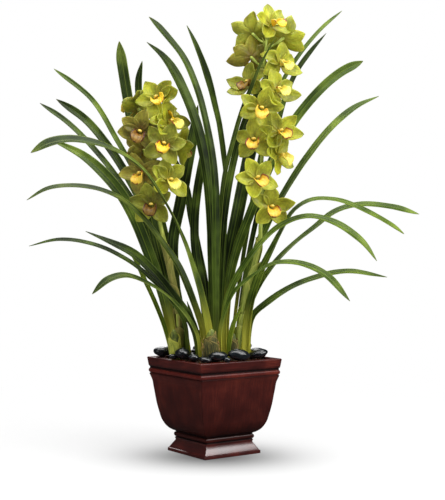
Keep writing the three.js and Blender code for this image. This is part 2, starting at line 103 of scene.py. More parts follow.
def newMaterial(name, **uniform):
    # Numbers that are the same all over are set on the shader itself.
    material = bpy.data.materials.new(name)
    material.use_nodes = True
    tree = material.node_tree
    shader = tree.nodes["Principled BSDF"]
    node = partial(addNode, tree)
    feed(tree, shader, **uniform)

    def shade(color, rough, bump=None):
        # rough: what varies it, its least and its most. bump: its height, strength and depth in metres.
        feed(tree, shader, Base_Color=color,
             Roughness=node("MapRange", Value=rough[0], To_Min=rough[1], To_Max=rough[2]))
        if bump:
            feed(tree, shader, Normal=node("Bump", Height=bump[0], Strength=bump[1], Distance=bump[2]))
        return material

    return node, shade


def banded(node, place, bands, detail, **more):
    # Noise drawn out into bands: how many there are across and along.
    laid = node("Mapping", Vector=place, Scale=bands)
    return node("TexNoise", Vector=laid, Scale=1, Detail=detail, **more)


def offMiddle(node, across):
    return node("Math.ABSOLUTE", node("Math.SUBTRACT", across, 0.5))


def placed(name, data):
    piece = bpy.data.objects.new(name, data)
    bpy.context.scene.collection.objects.link(piece)
    return piece


def meshObject(name, shape, material):
    points, faces, uvs = shape
    mesh = bpy.data.meshes.new(name)
    mesh.from_pydata([tuple(p) for p in points], [], [list(f) for f in faces])
    layer = mesh.uv_layers.new(name="UVMap")
    for polygon, corners in zip(mesh.polygons, uvs):
        for loop, uv in zip(polygon.loop_indices, corners):
            layer.data[loop].uv = uv
    mesh.materials.append(material)
    mesh.shade_smooth()
    return placed(name, mesh)


def turnOut(piece):
    # Closed shells get their faces turned outwards.
    shell = bmesh.new()
    shell.from_mesh(piece.data)
    bmesh.ops.recalc_face_normals(shell, faces=shell.faces)
    shell.to_mesh(piece.data)
    shell.free()
    return piece


def thicken(piece, thickness):
    solid = piece.modifiers.new("thickness", "SOLIDIFY")
    solid.thickness = thickness * mm
    solid.offset = 0
    return piece


def finishPiece(piece, slot, *nodes):
    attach(piece, "root")
    if nodes:
        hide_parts(*nodes)
    return piece


def newTree(name, sockets):
    # sockets: name, kind, value. The geometry goes in first and comes out alone.
    tree = bpy.data.node_groups.new(name, "GeometryNodeTree")
    for label, kind, value in [("Geometry", "Geometry", None), *sockets]:
        socket = tree.interface.new_socket(label, in_out="INPUT", socket_type="NodeSocket" + kind)
        if value is not None:
            socket.default_value = value
    tree.interface.new_socket("Geometry", in_out="OUTPUT", socket_type="NodeSocketGeometry")
    node = partial(addNode, tree)
    return tree, node, node("NodeGroupInput").outputs


def closeTree(tree, node, shape, material):
    # The result comes out as real, smooth geometry in its material.
    real = node("RealizeInstances", node("SetShadeSmooth", Geometry=shape))
    node("NodeGroupOutput", node("SetMaterial", Geometry=real, Material=material))
    return tree


def grow(source, tree, name, **settings):
    # Runs a Geometry Nodes tree on a source object and leaves its result as a plain mesh.
    run = source.modifiers.new("grow", "NODES")
    run.node_group = tree
    for socket in tree.interface.items_tree:
        key = socket.name.replace(" ", "_")
        if socket.in_out == "INPUT" and key in settings:
            run[socket.identifier] = settings[key]
    view = bpy.context.evaluated_depsgraph_get()
    mesh = bpy.data.meshes.new_from_object(source.evaluated_get(view), depsgraph=view)
    mesh.name = name
    spent = source.data
    bpy.data.objects.remove(source)
    bpy.data.meshes.remove(spent)
    return placed(name, mesh)


def pathObject(paths, **attributes):
    # Chains of edges for a tree to follow. Each attribute gives a number or a vector for each point.
    mesh = bpy.data.meshes.new("paths")
    edges, start = [], 0
    for path in paths:
        edges += [(i, i + 1) for i in range(start, start + len(path) - 1)]
        start += len(path)
    mesh.from_pydata([tuple(p) for path in paths for p in path], edges, [])
    for name, values in attributes.items():
        kind, key = ("FLOAT", "value") if isinstance(values[0], float) else ("FLOAT_VECTOR", "vector")
        layer = mesh.attributes.new(name, kind, "POINT")
        for item, value in zip(layer.data, values):
            setattr(item, key, value)
    return placed("paths", mesh)


def loft(rows, columns, place, wrap=False, poles=None):
    # A grid of points place(across, along), both from 0 to 1. wrap joins its sides, poles close its ends.
    span = columns if wrap else columns + 1
    points = [place(c / columns, r / rows) for r in range(rows + 1) for c in range(span)]
    faces, uvs = [], []
    for r in range(rows):
        for c in range(columns):
            corners = [(r, c), (r, c + 1), (r + 1, c + 1), (r + 1, c)]
            faces.append([i * span + j % span for i, j in corners])
            uvs.append([(j / columns, i / rows) for i, j in corners])
    for pole, r in zip(poles or (), (0, rows)):
        points.append(pole)
        for c in range(columns):
            pair = [(r, c + 1), (r, c)] if r == 0 else [(r, c), (r, c + 1)]
            faces.append([len(points) - 1] + [i * span + j % span for i, j in pair])
            uvs.append([((c + 0.5) / columns, r / rows)] + [(j / columns, i / rows) for i, j in pair])
    return points, faces, uvs


def joined(parts):
    points, faces, uvs = [], [], []
    for more, cells, corners in parts:
        faces += [[i + len(points) for i in cell] for cell in cells]
        points += more
        uvs += corners
    return points, faces, uvs


def moved(shape, matrix):
    points, faces, uvs = shape
    return [matrix @ Vector(p) for p in points], faces, uvs


def smooth(low, high, value):
    share = min(1.0, max(0.0, (value - low) / (high - low)))
    return share * share * (3 - 2 * share)


def routeThrough(points, steps):
    # The CAD's own curve through the points (a centripetal spline), cut in equal lengths.
    points = [Vector(p) for p in points]
    guide = [2 * points[0] - points[1], *points, 2 * points[-1] - points[-2]]
    fine, cuts = [], 24
    for p0, p1, p2, p3 in zip(guide, guide[1:], guide[2:], guide[3:]):
        t1 = (p1 - p0).length ** 0.5
        t2 = t1 + (p2 - p1).length ** 0.5
        t3 = t2 + (p3 - p2).length ** 0.5
        for k in range(cuts):
            t = t1 + (t2 - t1) * k / cuts
            a1, a2 = p0.lerp(p1, t / t1), p1.lerp(p2, (t - t1) / (t2 - t1))
            a3 = p2.lerp(p3, (t - t2) / (t3 - t2))
            b1, b2 = a1.lerp(a2, t / t2), a2.lerp(a3, (t - t1) / (t3 - t1))
            fine.append(b1.lerp(b2, (t - t1) / (t2 - t1)))
    fine.append(points[-1])
    lengths = [0.0]
    for a, b in zip(fine, fine[1:]):
        lengths.append(lengths[-1] + (b - a).length)
    even, j = [], 0
    for k in range(steps + 1):
        goal = lengths[-1] * k / steps
        while j < len(fine) - 2 and lengths[j + 1] < goal:
            j += 1
        even.append(fine[j].lerp(fine[j + 1], min(1.0, (goal - lengths[j]) / (lengths[j + 1] - lengths[j]))))
    return even


# Camera: level, at the photo's angle, 2.3 m in front of the plant.
cameraStand = {"place": (18.3, -2300, 421.7), "lens": 52.77, "sensorHeight": 24}

camera = bpy.data.cameras.new("camera")
camera.sensor_fit = "VERTICAL"
camera.sensor_height = cameraStand["sensorHeight"]
camera.lens = cameraStand["lens"]
cameraPiece = placed("camera", camera)
cameraPiece.location = plantToPart @ Vector(cameraStand["place"])
cameraPiece.rotation_euler = (math.radians(90), 0, plantTurn)
bpy.context.scene.camera = cameraPiece
bpy.context.scene.view_settings.view_transform = "Standard"
print("camera placed")


# Mahogany-stained hardwood under sprayed satin lacquer: a deep red-brown with fine darker grain. Painted
# shade darkens the stain by height in the hollows of the mouldings, in the gaps between the parts and low on
# the bowl, a painted highlight lightens the bead, and the lacquer pales what looks up.
def mahoganyLacquer(name, grain, contrast, gloss, coatIor=1.5):
    # grain: length of its streaks along the side and up it, in mm. gloss: the lacquer's share.
    node, shade = newMaterial(name, IOR=1.5, Specular_IOR_Level=0.26, Coat_Weight=gloss, Coat_Roughness=0.22,
                              Coat_IOR=coatIor, Coat_Tint=(1, 0.78, 0.78, 1))
    bands = (1000 / grain[0], 1000 / grain[1], 1)
    streaks = banded(node, node("UVMap", uv_map="UVMap"), bands, 5, Roughness=0.62, Distortion=0.35)
    spot = node("TexCoord").outputs["Object"]
    mottle = node("TexNoise", Vector=spot, Scale=26, Detail=3)
    figure = node("Mix", Factor=0.45, A=streaks, B=mottle)
    stain = node("ValToRGB", figure,
                 stops=[(0.5 - contrast, "#2c0908"), (0.5, "#501711"), (0.5 + contrast, "#7e301e")])
    # Painted light: by height, the stain darkens where shade falls in the hollows and gaps and whitens at the
    # bead.
    height = node("SeparateXYZ", spot).outputs["Z"]
    level = node("Math.DIVIDE", height, planter["top"] * mm)
    hollowShadeAndBeadLight = node("ValToRGB", level, stops=[(z / planter["top"], color) for z, color in planter["hollowShadeAndBeadLight"]])
    stainWithPaintedLight = node("Mix", Factor=1.0, A=stain, B=hollowShadeAndBeadLight, data_type="RGBA", blend_type="MULTIPLY")
    return shade(stainWithPaintedLight, (streaks, 0.3, 0.42), (streaks, 0.1, 0.0005))


def squareRing(half, height, corner, sidePoints):
    # One ring round a square piece, with rounded corners. A short flat beside each keeps the faces true.
    inner = half - corner
    shoulder = min(1.5, inner * 0.4)
    ring = []
    for k in range(4):
        turn = Matrix.Rotation(math.radians(90 * k), 3, "Z")
        arc = [(inner + corner * math.cos(a), inner + corner * math.sin(a))
               for a in (math.radians(18 * i) for i in range(6))]
        side = [(half, inner - shoulder), *arc, (inner - shoulder, half)]
        reach = inner - shoulder
        side += [(reach - 2 * reach * i / (sidePoints + 1), half) for i in range(1, sidePoints + 1)]
        ring += [turn @ Vector((x, y, height)) for x, y in side]
    return ring


def squareLoft(outline, corner, closed=False, sidePoints=0):
    # outline: half side and height in mm, from the bottom up round the outside. UVs are in metres.
    rings = [squareRing(half, height, min(corner, half * 0.4), sidePoints) for half, height in outline]
    count = len(rings[0])
    points = [p * mm for ring in rings for p in ring]
    travel = [0.0]
    for a, b in zip(rings, rings[1:] + rings[:1]):
        travel.append(travel[-1] + (a[0] - b[0]).length * mm)
    faces, uvs = [], []
    for i in range(len(rings) if closed else len(rings) - 1):
        for j in range(count):
            corners = [(i, j), (i, j + 1), (i + 1, j + 1), (i + 1, j)]
            cell = [a % len(rings) * count + b % count for a, b in corners]
            middle = sum((points[c] for c in cell), Vector()) / 4
            side = round(math.atan2(middle.y, middle.x) / (math.pi / 2))
            run = Matrix.Rotation(-side * math.pi / 2, 3, "Z")
            faces.append(cell)
            uvs.append([((run @ points[c]).y + 0.37 * side, travel[a]) for c, (a, b) in zip(cell, corners)])
    if not closed:
        for cell in (range(count)[::-1], range(len(points) - count, len(points))):
            faces.append(list(cell))
            uvs.append([(points[c].x, points[c].y) for c in cell])
    return points, faces, uvs


def arcPoints(middle, reach, start, end, steps):
    # middle: half side and height. reach: how far the arc stands out and up.
    angles = [math.radians(start + (end - start) * i / steps) for i in range(steps + 1)]
    return [(middle[0] + reach[0] * math.cos(a), middle[1] + reach[1] * math.sin(a)) for a in angles]


def easedOutline(points, steps):
    # A smooth outline through the given points.
    return [(p.x, p.y) for p in routeThrough([(a, b, 0) for a, b in points], steps)]


planter = {
    "plinth": [(0.4, 0), (69.4, 0), (70, 0.6), (70, 5.4), (69.6, 6.6), (68.4, 7.2), (67.7, 8), (58, 23.6),
               (58, 25.4), (58.8, 26.4), (58.8, 28.9), (58.2, 29.5), (0.4, 29.5)],
    "collar": [(0.4, 29.9), (57.8, 29.9), (58.2, 30.6), *arcPoints((57.2, 35.6), (3.5, 4.9), -76, 76, 10),
               (58.2, 41.2), (58.6, 42), (0.4, 42)],
    "bowl": easedOutline([(58.8, 42.4), (63.1, 44.2), (68.1, 48), (72, 52), (76.7, 60), (80, 68), (82.9, 80),
                          (87, 100), (90.4, 124), (92.1, 136), (93.7, 148), (96.2, 156), (98, 161.2)], 40),
    "bead": [(98.2, 162.2), (97.2, 162.8), (97, 163.8), (97.6, 164.8),
             *arcPoints((96.9, 168.9), (2.4, 4.2), -62, 78, 9), (97.6, 173.4), (97.4, 174.2), (97.4, 177)],
    "inside": [(88, 177), (80.7, 119), (74.1, 80), (70.2, 66), (56, 56), (0.4, 56)],
    "rim": [(88, 177.4), (98.1, 177.4), (98.7, 178.2), (99.2, 180), (99.9, 184), (101, 192), (101.4, 194.6),
            (101.5, 195.4), (100.9, 196.5), (99.8, 197), (88.6, 197), (88, 196.4)],
    "corner": {"plinth": 1.2, "collar": 1.6, "bowl": 1.8, "rim": 1.0},
    "top": 197, "sharpAngle": 38,
    "hollowShadeAndBeadLight": [  # height in mm, and how light the stain is painted there: painted shade, white for the bead's painted highlight
        (0, "#d4d4d4"), (27, "#d4d4d4"), (29.5, "#404040"), (31.5, "#505050"), (34, "#b0b0b0"),
        (38, "#a8a8a8"), (41, "#484848"), (43.5, "#383838"), (50, "#8c8c8c"), (70, "#b4b4b4"),
        (158, "#d0d0d0"), (161.5, "#b4b4b4"), (163, "#8c8c8c"), (164.4, "#a8a8a8"), (166, "#ffffff"),
        (172, "#ffffff"), (174, "#626262"), (177, "#505050"), (180, "#b2b2b2"), (184, "#d4d4d4")],
}


def makePlanter():
    moulding = mahoganyLacquer("mahogany moulding, stained and satin lacquered", (50, 2.2), 0.24, 0.4)
    panel = mahoganyLacquer("mahogany panel, stained and satin lacquered", (2.6, 45), 0.3, 0.12)
    foot = mahoganyLacquer("mahogany foot, stained and full lacquered", (50, 2.6), 0.24, 1.0, coatIor=1.8)
    outlines = {
        "plinth": (planter["plinth"], foot), "collar": (planter["collar"], moulding),
        "bowl": (planter["bowl"] + planter["bead"] + planter["inside"], panel),
        "rim": (planter["rim"], moulding),
    }
    for part, (outline, material) in outlines.items():
        shape = squareLoft(outline, planter["corner"][part], closed=part == "rim")
        piece = turnOut(meshObject(f"{part}_wood", shape, material))
        piece.data.set_sharp_from_angle(angle=math.radians(planter["sharpAngle"]))
        finishPiece(piece, "planter_wood", f"planter_{part}")


makePlanter()
print("planter built")


# Thin vacuum-formed black plastic: matt, with a slight orange-peel texture.
def formedPlastic():
    node, shade = newMaterial("black liner plastic, vacuum formed", IOR=1.46)
    spot = node("TexCoord").outputs["Object"]
    peel = node("TexNoise", Vector=spot, Scale=420, Detail=2)
    dust = node("TexNoise", Vector=spot, Scale=45, Detail=4)
    color = node("ValToRGB", dust, stops=[(0.4, "#161617"), (0.75, "#34312d")])
    return shade(color, (dust, 0.45, 0.75), (peel, 0.2, 0.0003))


bpy.data.objects["plastic_liner"].material_slots[0].material = formedPlastic()


# Damp orchid bark: torn fir bark chips, red-brown to nearly black, rough and dull.
def firBark():
    node, shade = newMaterial("fir bark, chipped and damp", IOR=1.4, Coat_Weight=0.15, Coat_Roughness=0.4)
    spot = node("TexCoord").outputs["Object"]
    chip = node("TexNoise", Vector=spot, Scale=110, Detail=4)
    fibres = node("TexWave", Vector=spot, Scale=160, Distortion=9, Detail=3)
    tone = node("Mix", Factor=0.3, A=chip, B=fibres)
    color = node("ValToRGB", tone, stops=[(0.3, "#140d09"), (0.5, "#33210f"), (0.72, "#6b4526")])
    return shade(color, (chip, 0.6, 0.95), (tone, 0.7, 0.0012))


# Chips lie on every face that looks up. Chip Length is in metres, Density in chips a square metre.
def barkChipTree(material):
    tree, node, given = newTree("barkChips", [
        ("Density", "Float", 14000.0), ("Chip Length", "Float", 0.011), ("Seed", "Int", 4)])
    up = node("SeparateXYZ", node("InputNormal"))
    level = node("Compare.GREATER_THAN", up.outputs["Z"], 0.6)
    spots = node("DistributePointsOnFaces", Mesh=given["Geometry"], Selection=level, Density=given["Density"],
                 Seed=given["Seed"])
    block = node("MeshCube", Size=(1, 0.55, 0.3), Vertices_X=4, Vertices_Y=3, Vertices_Z=2)
    turn = node("RandomValue", Min=(-0.5, -0.5, 0), Max=(0.5, 0.5, 6.28), Seed=7, data_type="FLOAT_VECTOR")
    share = node("RandomValue", Min=0.55, Max=1.25, Seed=9, data_type="FLOAT")
    size = node("Math.MULTIPLY", share.outputs[1], given["Chip Length"])
    chips = node("InstanceOnPoints", Points=spots, Instance=block, Rotation=turn.outputs[0], Scale=size)
    real = node("RealizeInstances", chips)
    worn = node("TexNoise", Vector=node("InputPosition"), Scale=190, Detail=1)
    push = node("VectorMath.SUBTRACT", worn.outputs["Color"], (0.5, 0.5, 0.5))
    torn = node("VectorMath.SCALE", push, Scale=0.011)
    bent = node("SetPosition", Geometry=real, Offset=torn)
    node("NodeGroupOutput", node("SetMaterial", Geometry=bent, Material=material))
    return tree


mix = {
    "foot": (53, 58.4), "walls": [(67.2, 66), (71.1, 80), (77.7, 119), (84.6, 177)], "shoulder": (85, 185),
    "top": 194, "rings": 9, "ringFrom": 85.2, "ringTo": 1.2, "slope": 7, "swell": 3, "swellFrom": 0.186,
    "lumps": 45, "chips": 12000.0,  # lumps a metre, chips a square metre
}


def makeMix():
    bark = firBark()
    outline = [(0.4, mix["foot"][1]), mix["foot"], *mix["walls"], mix["shoulder"]]
    for i in range(mix["rings"] + 1):
        share = i / mix["rings"]
        half = (mix["ringFrom"] - mix["ringTo"]) * (1 - share) + mix["ringTo"]
        outline.append((half, mix["top"] - mix["slope"] * (1 - smooth(0, 0.3, share))))
    points, faces, uvs = squareLoft(outline, 4, sidePoints=9)
    for p in points:
        if p.z > mix["swellFrom"]:
            p.z += (noise.noise(p * mix["lumps"]) + 0.5) * mix["swell"] * mm
    mound = turnOut(meshObject("bark_mound", (points, faces, uvs), bark))
    finishPiece(mound, "potting_bark", "bark_mix")
    source = placed("chipSource", mound.data.copy())
    chips = grow(source, barkChipTree(bark), "bark_chips", Density=mix["chips"])
    finishPiece(chips, "potting_bark", "bark_mix")


makeMix()
print("potting mix built")


# River stone, tumbled smooth and waxed: nearly black with a blue cast, broad soft highlights, and a
# dusty bloom in cloudy patches.
def riverStone():
    node, shade = newMaterial("black river stone, tumbled and waxed", IOR=1.52, Coat_Weight=0.5,
                              Coat_Roughness=0.18)
    spot = node("TexCoord").outputs["Object"]
    cloud = node("TexNoise", Vector=spot, Scale=60, Detail=6, Roughness=0.6)
    grit = node("TexNoise", Vector=spot, Scale=900, Detail=2)
    color = node("ValToRGB", cloud, stops=[(0.35, "#06080b"), (0.55, "#0c1116"), (0.8, "#1b232b")])
    return shade(color, (cloud, 0.14, 0.34), (grit, 0.06, 0.0002))


# A stone at each point of the source, from its own size and turn. Lump is how far its skin wanders.
def pebbleTree(material):
    tree, node, given = newTree("riverPebbles", [("Detail", "Int", 4), ("Lump", "Float", 0.0035)])
    ball = node("MeshIcoSphere", Radius=0.5, Subdivisions=given["Detail"])
    size, turn = [node("InputNamedAttribute", Name=name, data_type="FLOAT_VECTOR")
                  for name in ("size", "turn")]
    stones = node("InstanceOnPoints", Points=given["Geometry"], Instance=ball, Scale=size,
                  Rotation=node("EulerToRotation", turn))
    real = node("RealizeInstances", stones)
    swell = node("TexNoise", Vector=node("InputPosition"), Scale=48, Detail=1)
    share = node("Math.SUBTRACT", swell, 0.5)
    reach = node("Math.MULTIPLY", share, given["Lump"])
    push = node("VectorMath.SCALE", node("InputNormal"), Scale=reach)
    return closeTree(tree, node, node("SetPosition", Geometry=real, Offset=push), material)


# Each large pebble: x, y, height of its middle, length, depth, height, turn in degrees.
pebbles = [
    (-107, 12, 209, 40, 27, 20, 4), (-90, 44, 209, 34, 24, 20, 35), (-64, -52, 210, 32, 26, 22, -20),
    (-40, -82, 204, 27, 22, 15, -50), (-15, -108, 203, 26, 20, 12, 0), (9, -94, 208, 40, 28, 21, 12),
    (51, -73, 209.5, 48, 31, 24, 14), (93, -37, 209, 40, 28, 18, 10), (96, 8, 206, 34, 26, 18, -60),
    (92, 40, 206, 32, 26, 17, -40), (62, 76, 212, 42, 28, 20, -28), (16, 104, 208, 37, 27, 20, -20),
    (-30, 92, 208, 37, 28, 20, 35), (-4, 70, 205, 34, 26, 19, 10),
]
# Each bulb: name, x, y, width, depth, height, lean in degrees.
bulbs = [
    ("left_bulb", -77, -30, 25, 21, 72, -5), ("middle_bulb", -6, -74, 34, 23, 76, 2),
    ("right_bulb", 36, -34, 22, 20, 62, 6), ("back_bulb", -22, 40, 28, 24, 74, 0),
]
# Small stones, in mm and degrees. Depth, thickness, overhang and gaps are shares of a stone's length.
gravel = {"count": 90, "tries": 6000, "reach": 115, "edge": 80, "overhang": 0.3, "height": 202, "seed": 11,
          "length": (17, 27), "depth": (0.65, 0.85), "thickness": (0.45, 0.6), "tilt": 15,
          "gap": 0.36, "pebbleGap": 0.42, "placedGap": 0.4, "leafFoot": 5, "uneven": 2, "pebbleTilt": 12,
          "placed": [(-82, -47, 203.5, 20, 14, 12, 20), (28, -100, 202.5, 16, 13, 10, 0)]}


def stoneSource(stones):
    # stones: x, y, z, length, depth, height, turn in degrees and tilt, in the plant's frame.
    places = [[plantToPart @ Vector(s[:3])] for s in stones]
    sizes = [tuple(v * mm for v in s[3:6]) for s in stones]
    turns = [(math.radians(s[7]), math.radians(s[8]), math.radians(s[6]) + plantTurn) for s in stones]
    return pathObject(places, size=sizes, turn=turns)


def makePebbles(leafFeet):
    tree = pebbleTree(riverStone())
    chance = random.Random(gravel["seed"])
    for i, pebble in enumerate(pebbles):
        tilt = [chance.uniform(-gravel["pebbleTilt"], gravel["pebbleTilt"]) for _ in range(2)]
        stone = grow(stoneSource([(*pebble, *tilt)]), tree, f"pebble_{i + 1}_stone", Detail=4, Lump=0.005)
        finishPiece(stone, "river_pebble", f"pebble_{i + 1}")
    # What takes up room: the x, y and radius of each large pebble, bulb, leaf foot and placed small stone.
    taken = [(x, y, max(length, depth) * gravel["pebbleGap"]) for x, y, _, length, depth, *_ in pebbles]
    taken += [(x, y, max(width, depth) / 2) for _, x, y, width, depth, *_ in bulbs]
    taken += [(*foot, gravel["leafFoot"]) for foot in leafFeet]
    taken += [(x, y, length * gravel["placedGap"]) for x, y, _, length, *_ in gravel["placed"]]
    stones = [(*stone, 0, 0) for stone in gravel["placed"]]
    for _ in range(gravel["tries"]):
        x, y = [chance.uniform(-gravel["reach"], gravel["reach"]) for _ in range(2)]
        length = chance.uniform(*gravel["length"])
        spot = (plantToPart @ Vector((x, y, 0))) / mm
        gap = length * gravel["gap"]
        inside = max(abs(spot.x), abs(spot.y)) < gravel["edge"] - length * gravel["overhang"]
        clear = all(math.hypot(x - a, y - b) > r + gap for a, b, r in taken)
        if clear and inside and len(stones) < gravel["count"]:
            taken.append((x, y, gap))
            height = gravel["height"] + chance.uniform(-gravel["uneven"], gravel["uneven"])
            sides = [length * chance.uniform(*gravel[part]) for part in ("depth", "thickness")]
            turn = chance.uniform(0, 180)
            tilt = [chance.uniform(-gravel["tilt"], gravel["tilt"]) for _ in range(2)]
            stones.append((x, y, height, length, *sides, turn, *tilt))
    loose = grow(stoneSource(stones), tree, "gravel_stones", Detail=3, Lump=0.004)
    finishPiece(loose, "river_pebble")
    print("pebbles laid,", len(stones), "small ones")


# Living stem bases: waxy ribbed green skin, yellowing in patches, under thin dry sheaths.
def bulbSkin():
    node, shade = newMaterial("cymbidium bulb, waxy ribbed skin", IOR=1.45)
    around = node("SeparateXYZ", node("UVMap", uv_map="UVMap")).outputs["X"]
    blotch = node("TexNoise", Vector=node("TexCoord").outputs["Object"], Scale=90, Detail=4)
    rib = node("Math.SINE", node("Math.MULTIPLY", around, 120.0))
    tone = node("Math.MULTIPLY_ADD", rib, 0.08, blotch)
    color = node("ValToRGB", tone, stops=[(0.3, "#2e3b10"), (0.5, "#5d6a21"), (0.7, "#8f973a")])
    return shade(color, (blotch, 0.35, 0.6), (rib, 0.3, 0.0006))


# Old leaf bases gone papery: tan to brown, dull, with close lengthwise fibres and paler torn edges.
def drySheath(name, heart, middle, edge):
    node, shade = newMaterial(name, IOR=1.4)
    uv = node("UVMap", uv_map="UVMap")
    parts = node("SeparateXYZ", uv)
    fibres = banded(node, uv, (26, 2.2, 1), 4, Roughness=0.65)
    thread = banded(node, uv, (60, 3.5, 1), 3, Distortion=0.8)
    side = offMiddle(node, parts.outputs["X"])
    tone = fibres
    for value, low, high, most in ((side, 0.44, 0.5, 0.3), (parts.outputs["Y"], 0.75, 1, 0.2),
                                   (thread, 0.56, 0.68, 0.34)):
        pale = node("MapRange", Value=value, From_Min=low, From_Max=high, To_Max=most)
        tone = node("Math.ADD", tone, pale)
    color = node("ValToRGB", tone, stops=[(0.32, heart), (0.58, middle), (1.0, edge)])
    return shade(color, (fibres, 0.55, 0.85), (fibres, 0.5, 0.0008))


# How far a sheath stands off its stem: everywhere, at its tip and along its margins, in mm.
sheathStyle = {"rows": 14, "columns": 12, "taper": 0.9, "all": 0.6, "tip": 2.2, "margins": 0.7, "ripple": 0.4}


def sheathShape(spine, radiusAt, facing, spread, ragged, chance):
    # A sheath round a spine of points. facing: degrees from the viewer's right; spread: half of its
    # reach round the stem. It narrows to a torn point, and its margins stand off a little.
    phase = chance.uniform(0, 9)

    def place(across, along):
        i = along * (len(spine) - 1)
        low = min(int(i), len(spine) - 2)
        middle = spine[low].lerp(spine[low + 1], i - low)
        tangent = (spine[low + 1] - spine[low]).normalized()
        right = (Vector((1, 0, 0)) - tangent * tangent.x).normalized()
        back = tangent.cross(right)
        torn = 1 + ragged * math.sin(9 * along + phase) * along
        reach = spread * (1 - sheathStyle["taper"] * along ** 5) * torn
        angle = math.radians(facing + (2 * across - 1) * reach)
        flare = sheathStyle["all"] + sheathStyle["tip"] * along ** 2
        flare += sheathStyle["margins"] * abs(2 * across - 1) ** 3
        out = radiusAt(along) + flare + sheathStyle["ripple"] * math.sin(phase + 14 * across)
        return middle + (right * math.cos(angle) + back * math.sin(angle)) * out

    return loft(sheathStyle["rows"], sheathStyle["columns"], place)


# half: half of the bulb's width as a share of the given one. layer: mm from one sheath to the next.
bulbStyle = {"foot": 194.4, "tall": 0.88, "half": 0.52, "ribs": 12, "ribDepth": 0.035, "rows": 22,
             "columns": 96}
bulbSheaths = {"perBulb": 4, "layer": 0.6, "turn": 100, "spread": (105, 150), "reach": (0.6, 1.0),
               "ragged": 0.16, "thickness": 0.7, "young": ("left_bulb",), "seed": 23}


def bulbGirth(along):
    return math.sin(math.pi * min(1, along)) ** 0.62


def makeBulbs():
    skin = bulbSkin()
    # Old leaf bases: dry brown threads on green, with all their tones darkened as painted shade of the shaded
    # plant base.
    shadedPapery = drySheath("old leaf base, green with dry brown threads", "#191b09", "#444519", "#a08a46")
    fresh = drySheath("young leaf base, yellow-green", "#4c5518", "#8d9430", "#cbc552")
    for name, x, y, width, depth, height, lean in bulbs:
        chance = random.Random(bulbSheaths["seed"] + len(name))
        stand = Matrix.Translation((x, y, bulbStyle["foot"])) @ Matrix.Rotation(math.radians(lean), 4, "Y")
        tall = height * bulbStyle["tall"]

        def girth(share):
            along = 0.06 + 0.9 * share
            return bulbGirth(0.1 + 0.9 * along) * (1 - 0.28 * along)

        def place(across, along):
            angle = 2 * math.pi * across
            ribbed = 1 + bulbStyle["ribDepth"] * math.sin(bulbStyle["ribs"] * angle + 2 * along)
            out = girth(along) * ribbed * bulbStyle["half"]
            return Vector((math.cos(angle) * out * width, math.sin(angle) * out * depth, tall * along))

        ends = (Vector((0, 0, 0)), Vector((0, 0, tall + 1)))
        body = loft(bulbStyle["rows"], bulbStyle["columns"], place, wrap=True, poles=ends)
        piece = turnOut(meshObject(f"{name}_skin", moved(body, plantToPart @ stand), skin))
        finishPiece(piece, "bulb_skin", name)
        shells = []
        for i in range(bulbSheaths["perBulb"]):
            share = chance.uniform(*bulbSheaths["reach"])
            spine = [Vector((0, 0, tall * share * k / 8)) for k in range(9)]
            layer = bulbSheaths["layer"] * i
            facing = -90 + bulbSheaths["turn"] * i + chance.uniform(-30, 30)
            spread = chance.uniform(*bulbSheaths["spread"])
            shells.append(sheathShape(
                spine, lambda u: girth(u * share) * (width + depth) * bulbStyle["half"] / 2 + layer,
                facing, spread, bulbSheaths["ragged"], chance))
        sheath = fresh if name in bulbSheaths["young"] else shadedPapery
        piece = meshObject(f"{name}_sheaths", moved(joined(shells), plantToPart @ stand), sheath)
        finishPiece(thicken(piece, bulbSheaths["thickness"]), "bulb_skin", name)


# Round stalks and fibres along paths. The points carry their own girth in metres.
def tubeTree():
    tree, node, given = newTree("stalkTubes", [("Sides", "Int", 12), ("Material", "Material", None)])
    paths = node("MeshToCurve", given["Geometry"])
    girth = node("InputNamedAttribute", Name="girth", data_type="FLOAT")
    ring = node("CurvePrimitiveCircle", Resolution=given["Sides"], Radius=1.0)
    tubes = node("CurveToMesh", Curve=paths, Profile_Curve=ring, Scale=girth, Fill_Caps=True)
    return closeTree(tree, node, tubes, given["Material"])


tubes = tubeTree()


# Dry fibre of old roots and moss: pale straw to green, dull and slightly fuzzy.
def dryFibre():
    node, shade = newMaterial("dry plant fibre, loose", IOR=1.4, Sheen_Weight=0.2)
    tone = node("TexNoise", Vector=node("TexCoord").outputs["Object"], Scale=150, Detail=3)
    color = node("ValToRGB", tone, stops=[(0.35, "#7c7a45"), (0.55, "#b3b272"), (0.75, "#d8d6a4")])
    return shade(color, (tone, 0.7, 0.9))


tuft = {"middle": (64, 52, 199), "reach": (12, 10, 17), "strands": 46, "arc": 3.6, "steps": 14, "girth": 0.55,
        "lean": 0.9, "start": (-2.4, -0.4), "size": (0.55, 1), "seed": 5}


def growTubes(name, paths, girths, sides, skin):
    source = pathObject([[plantToPart @ p for p in path] for path in paths], girth=[g * mm for g in girths])
    return grow(source, tubes, name, Sides=sides, Material=skin)


def makeThreads(name, strands, girth, skin, *nodes):
    # Each strand is thickest at its middle.
    girths = [girth * (1 - 0.6 * abs(2 * k / (len(path) - 1) - 1))
              for path in strands for k in range(len(path))]
    finishPiece(growTubes(name, strands, girths, 5, skin), "dry_fibre", *nodes)


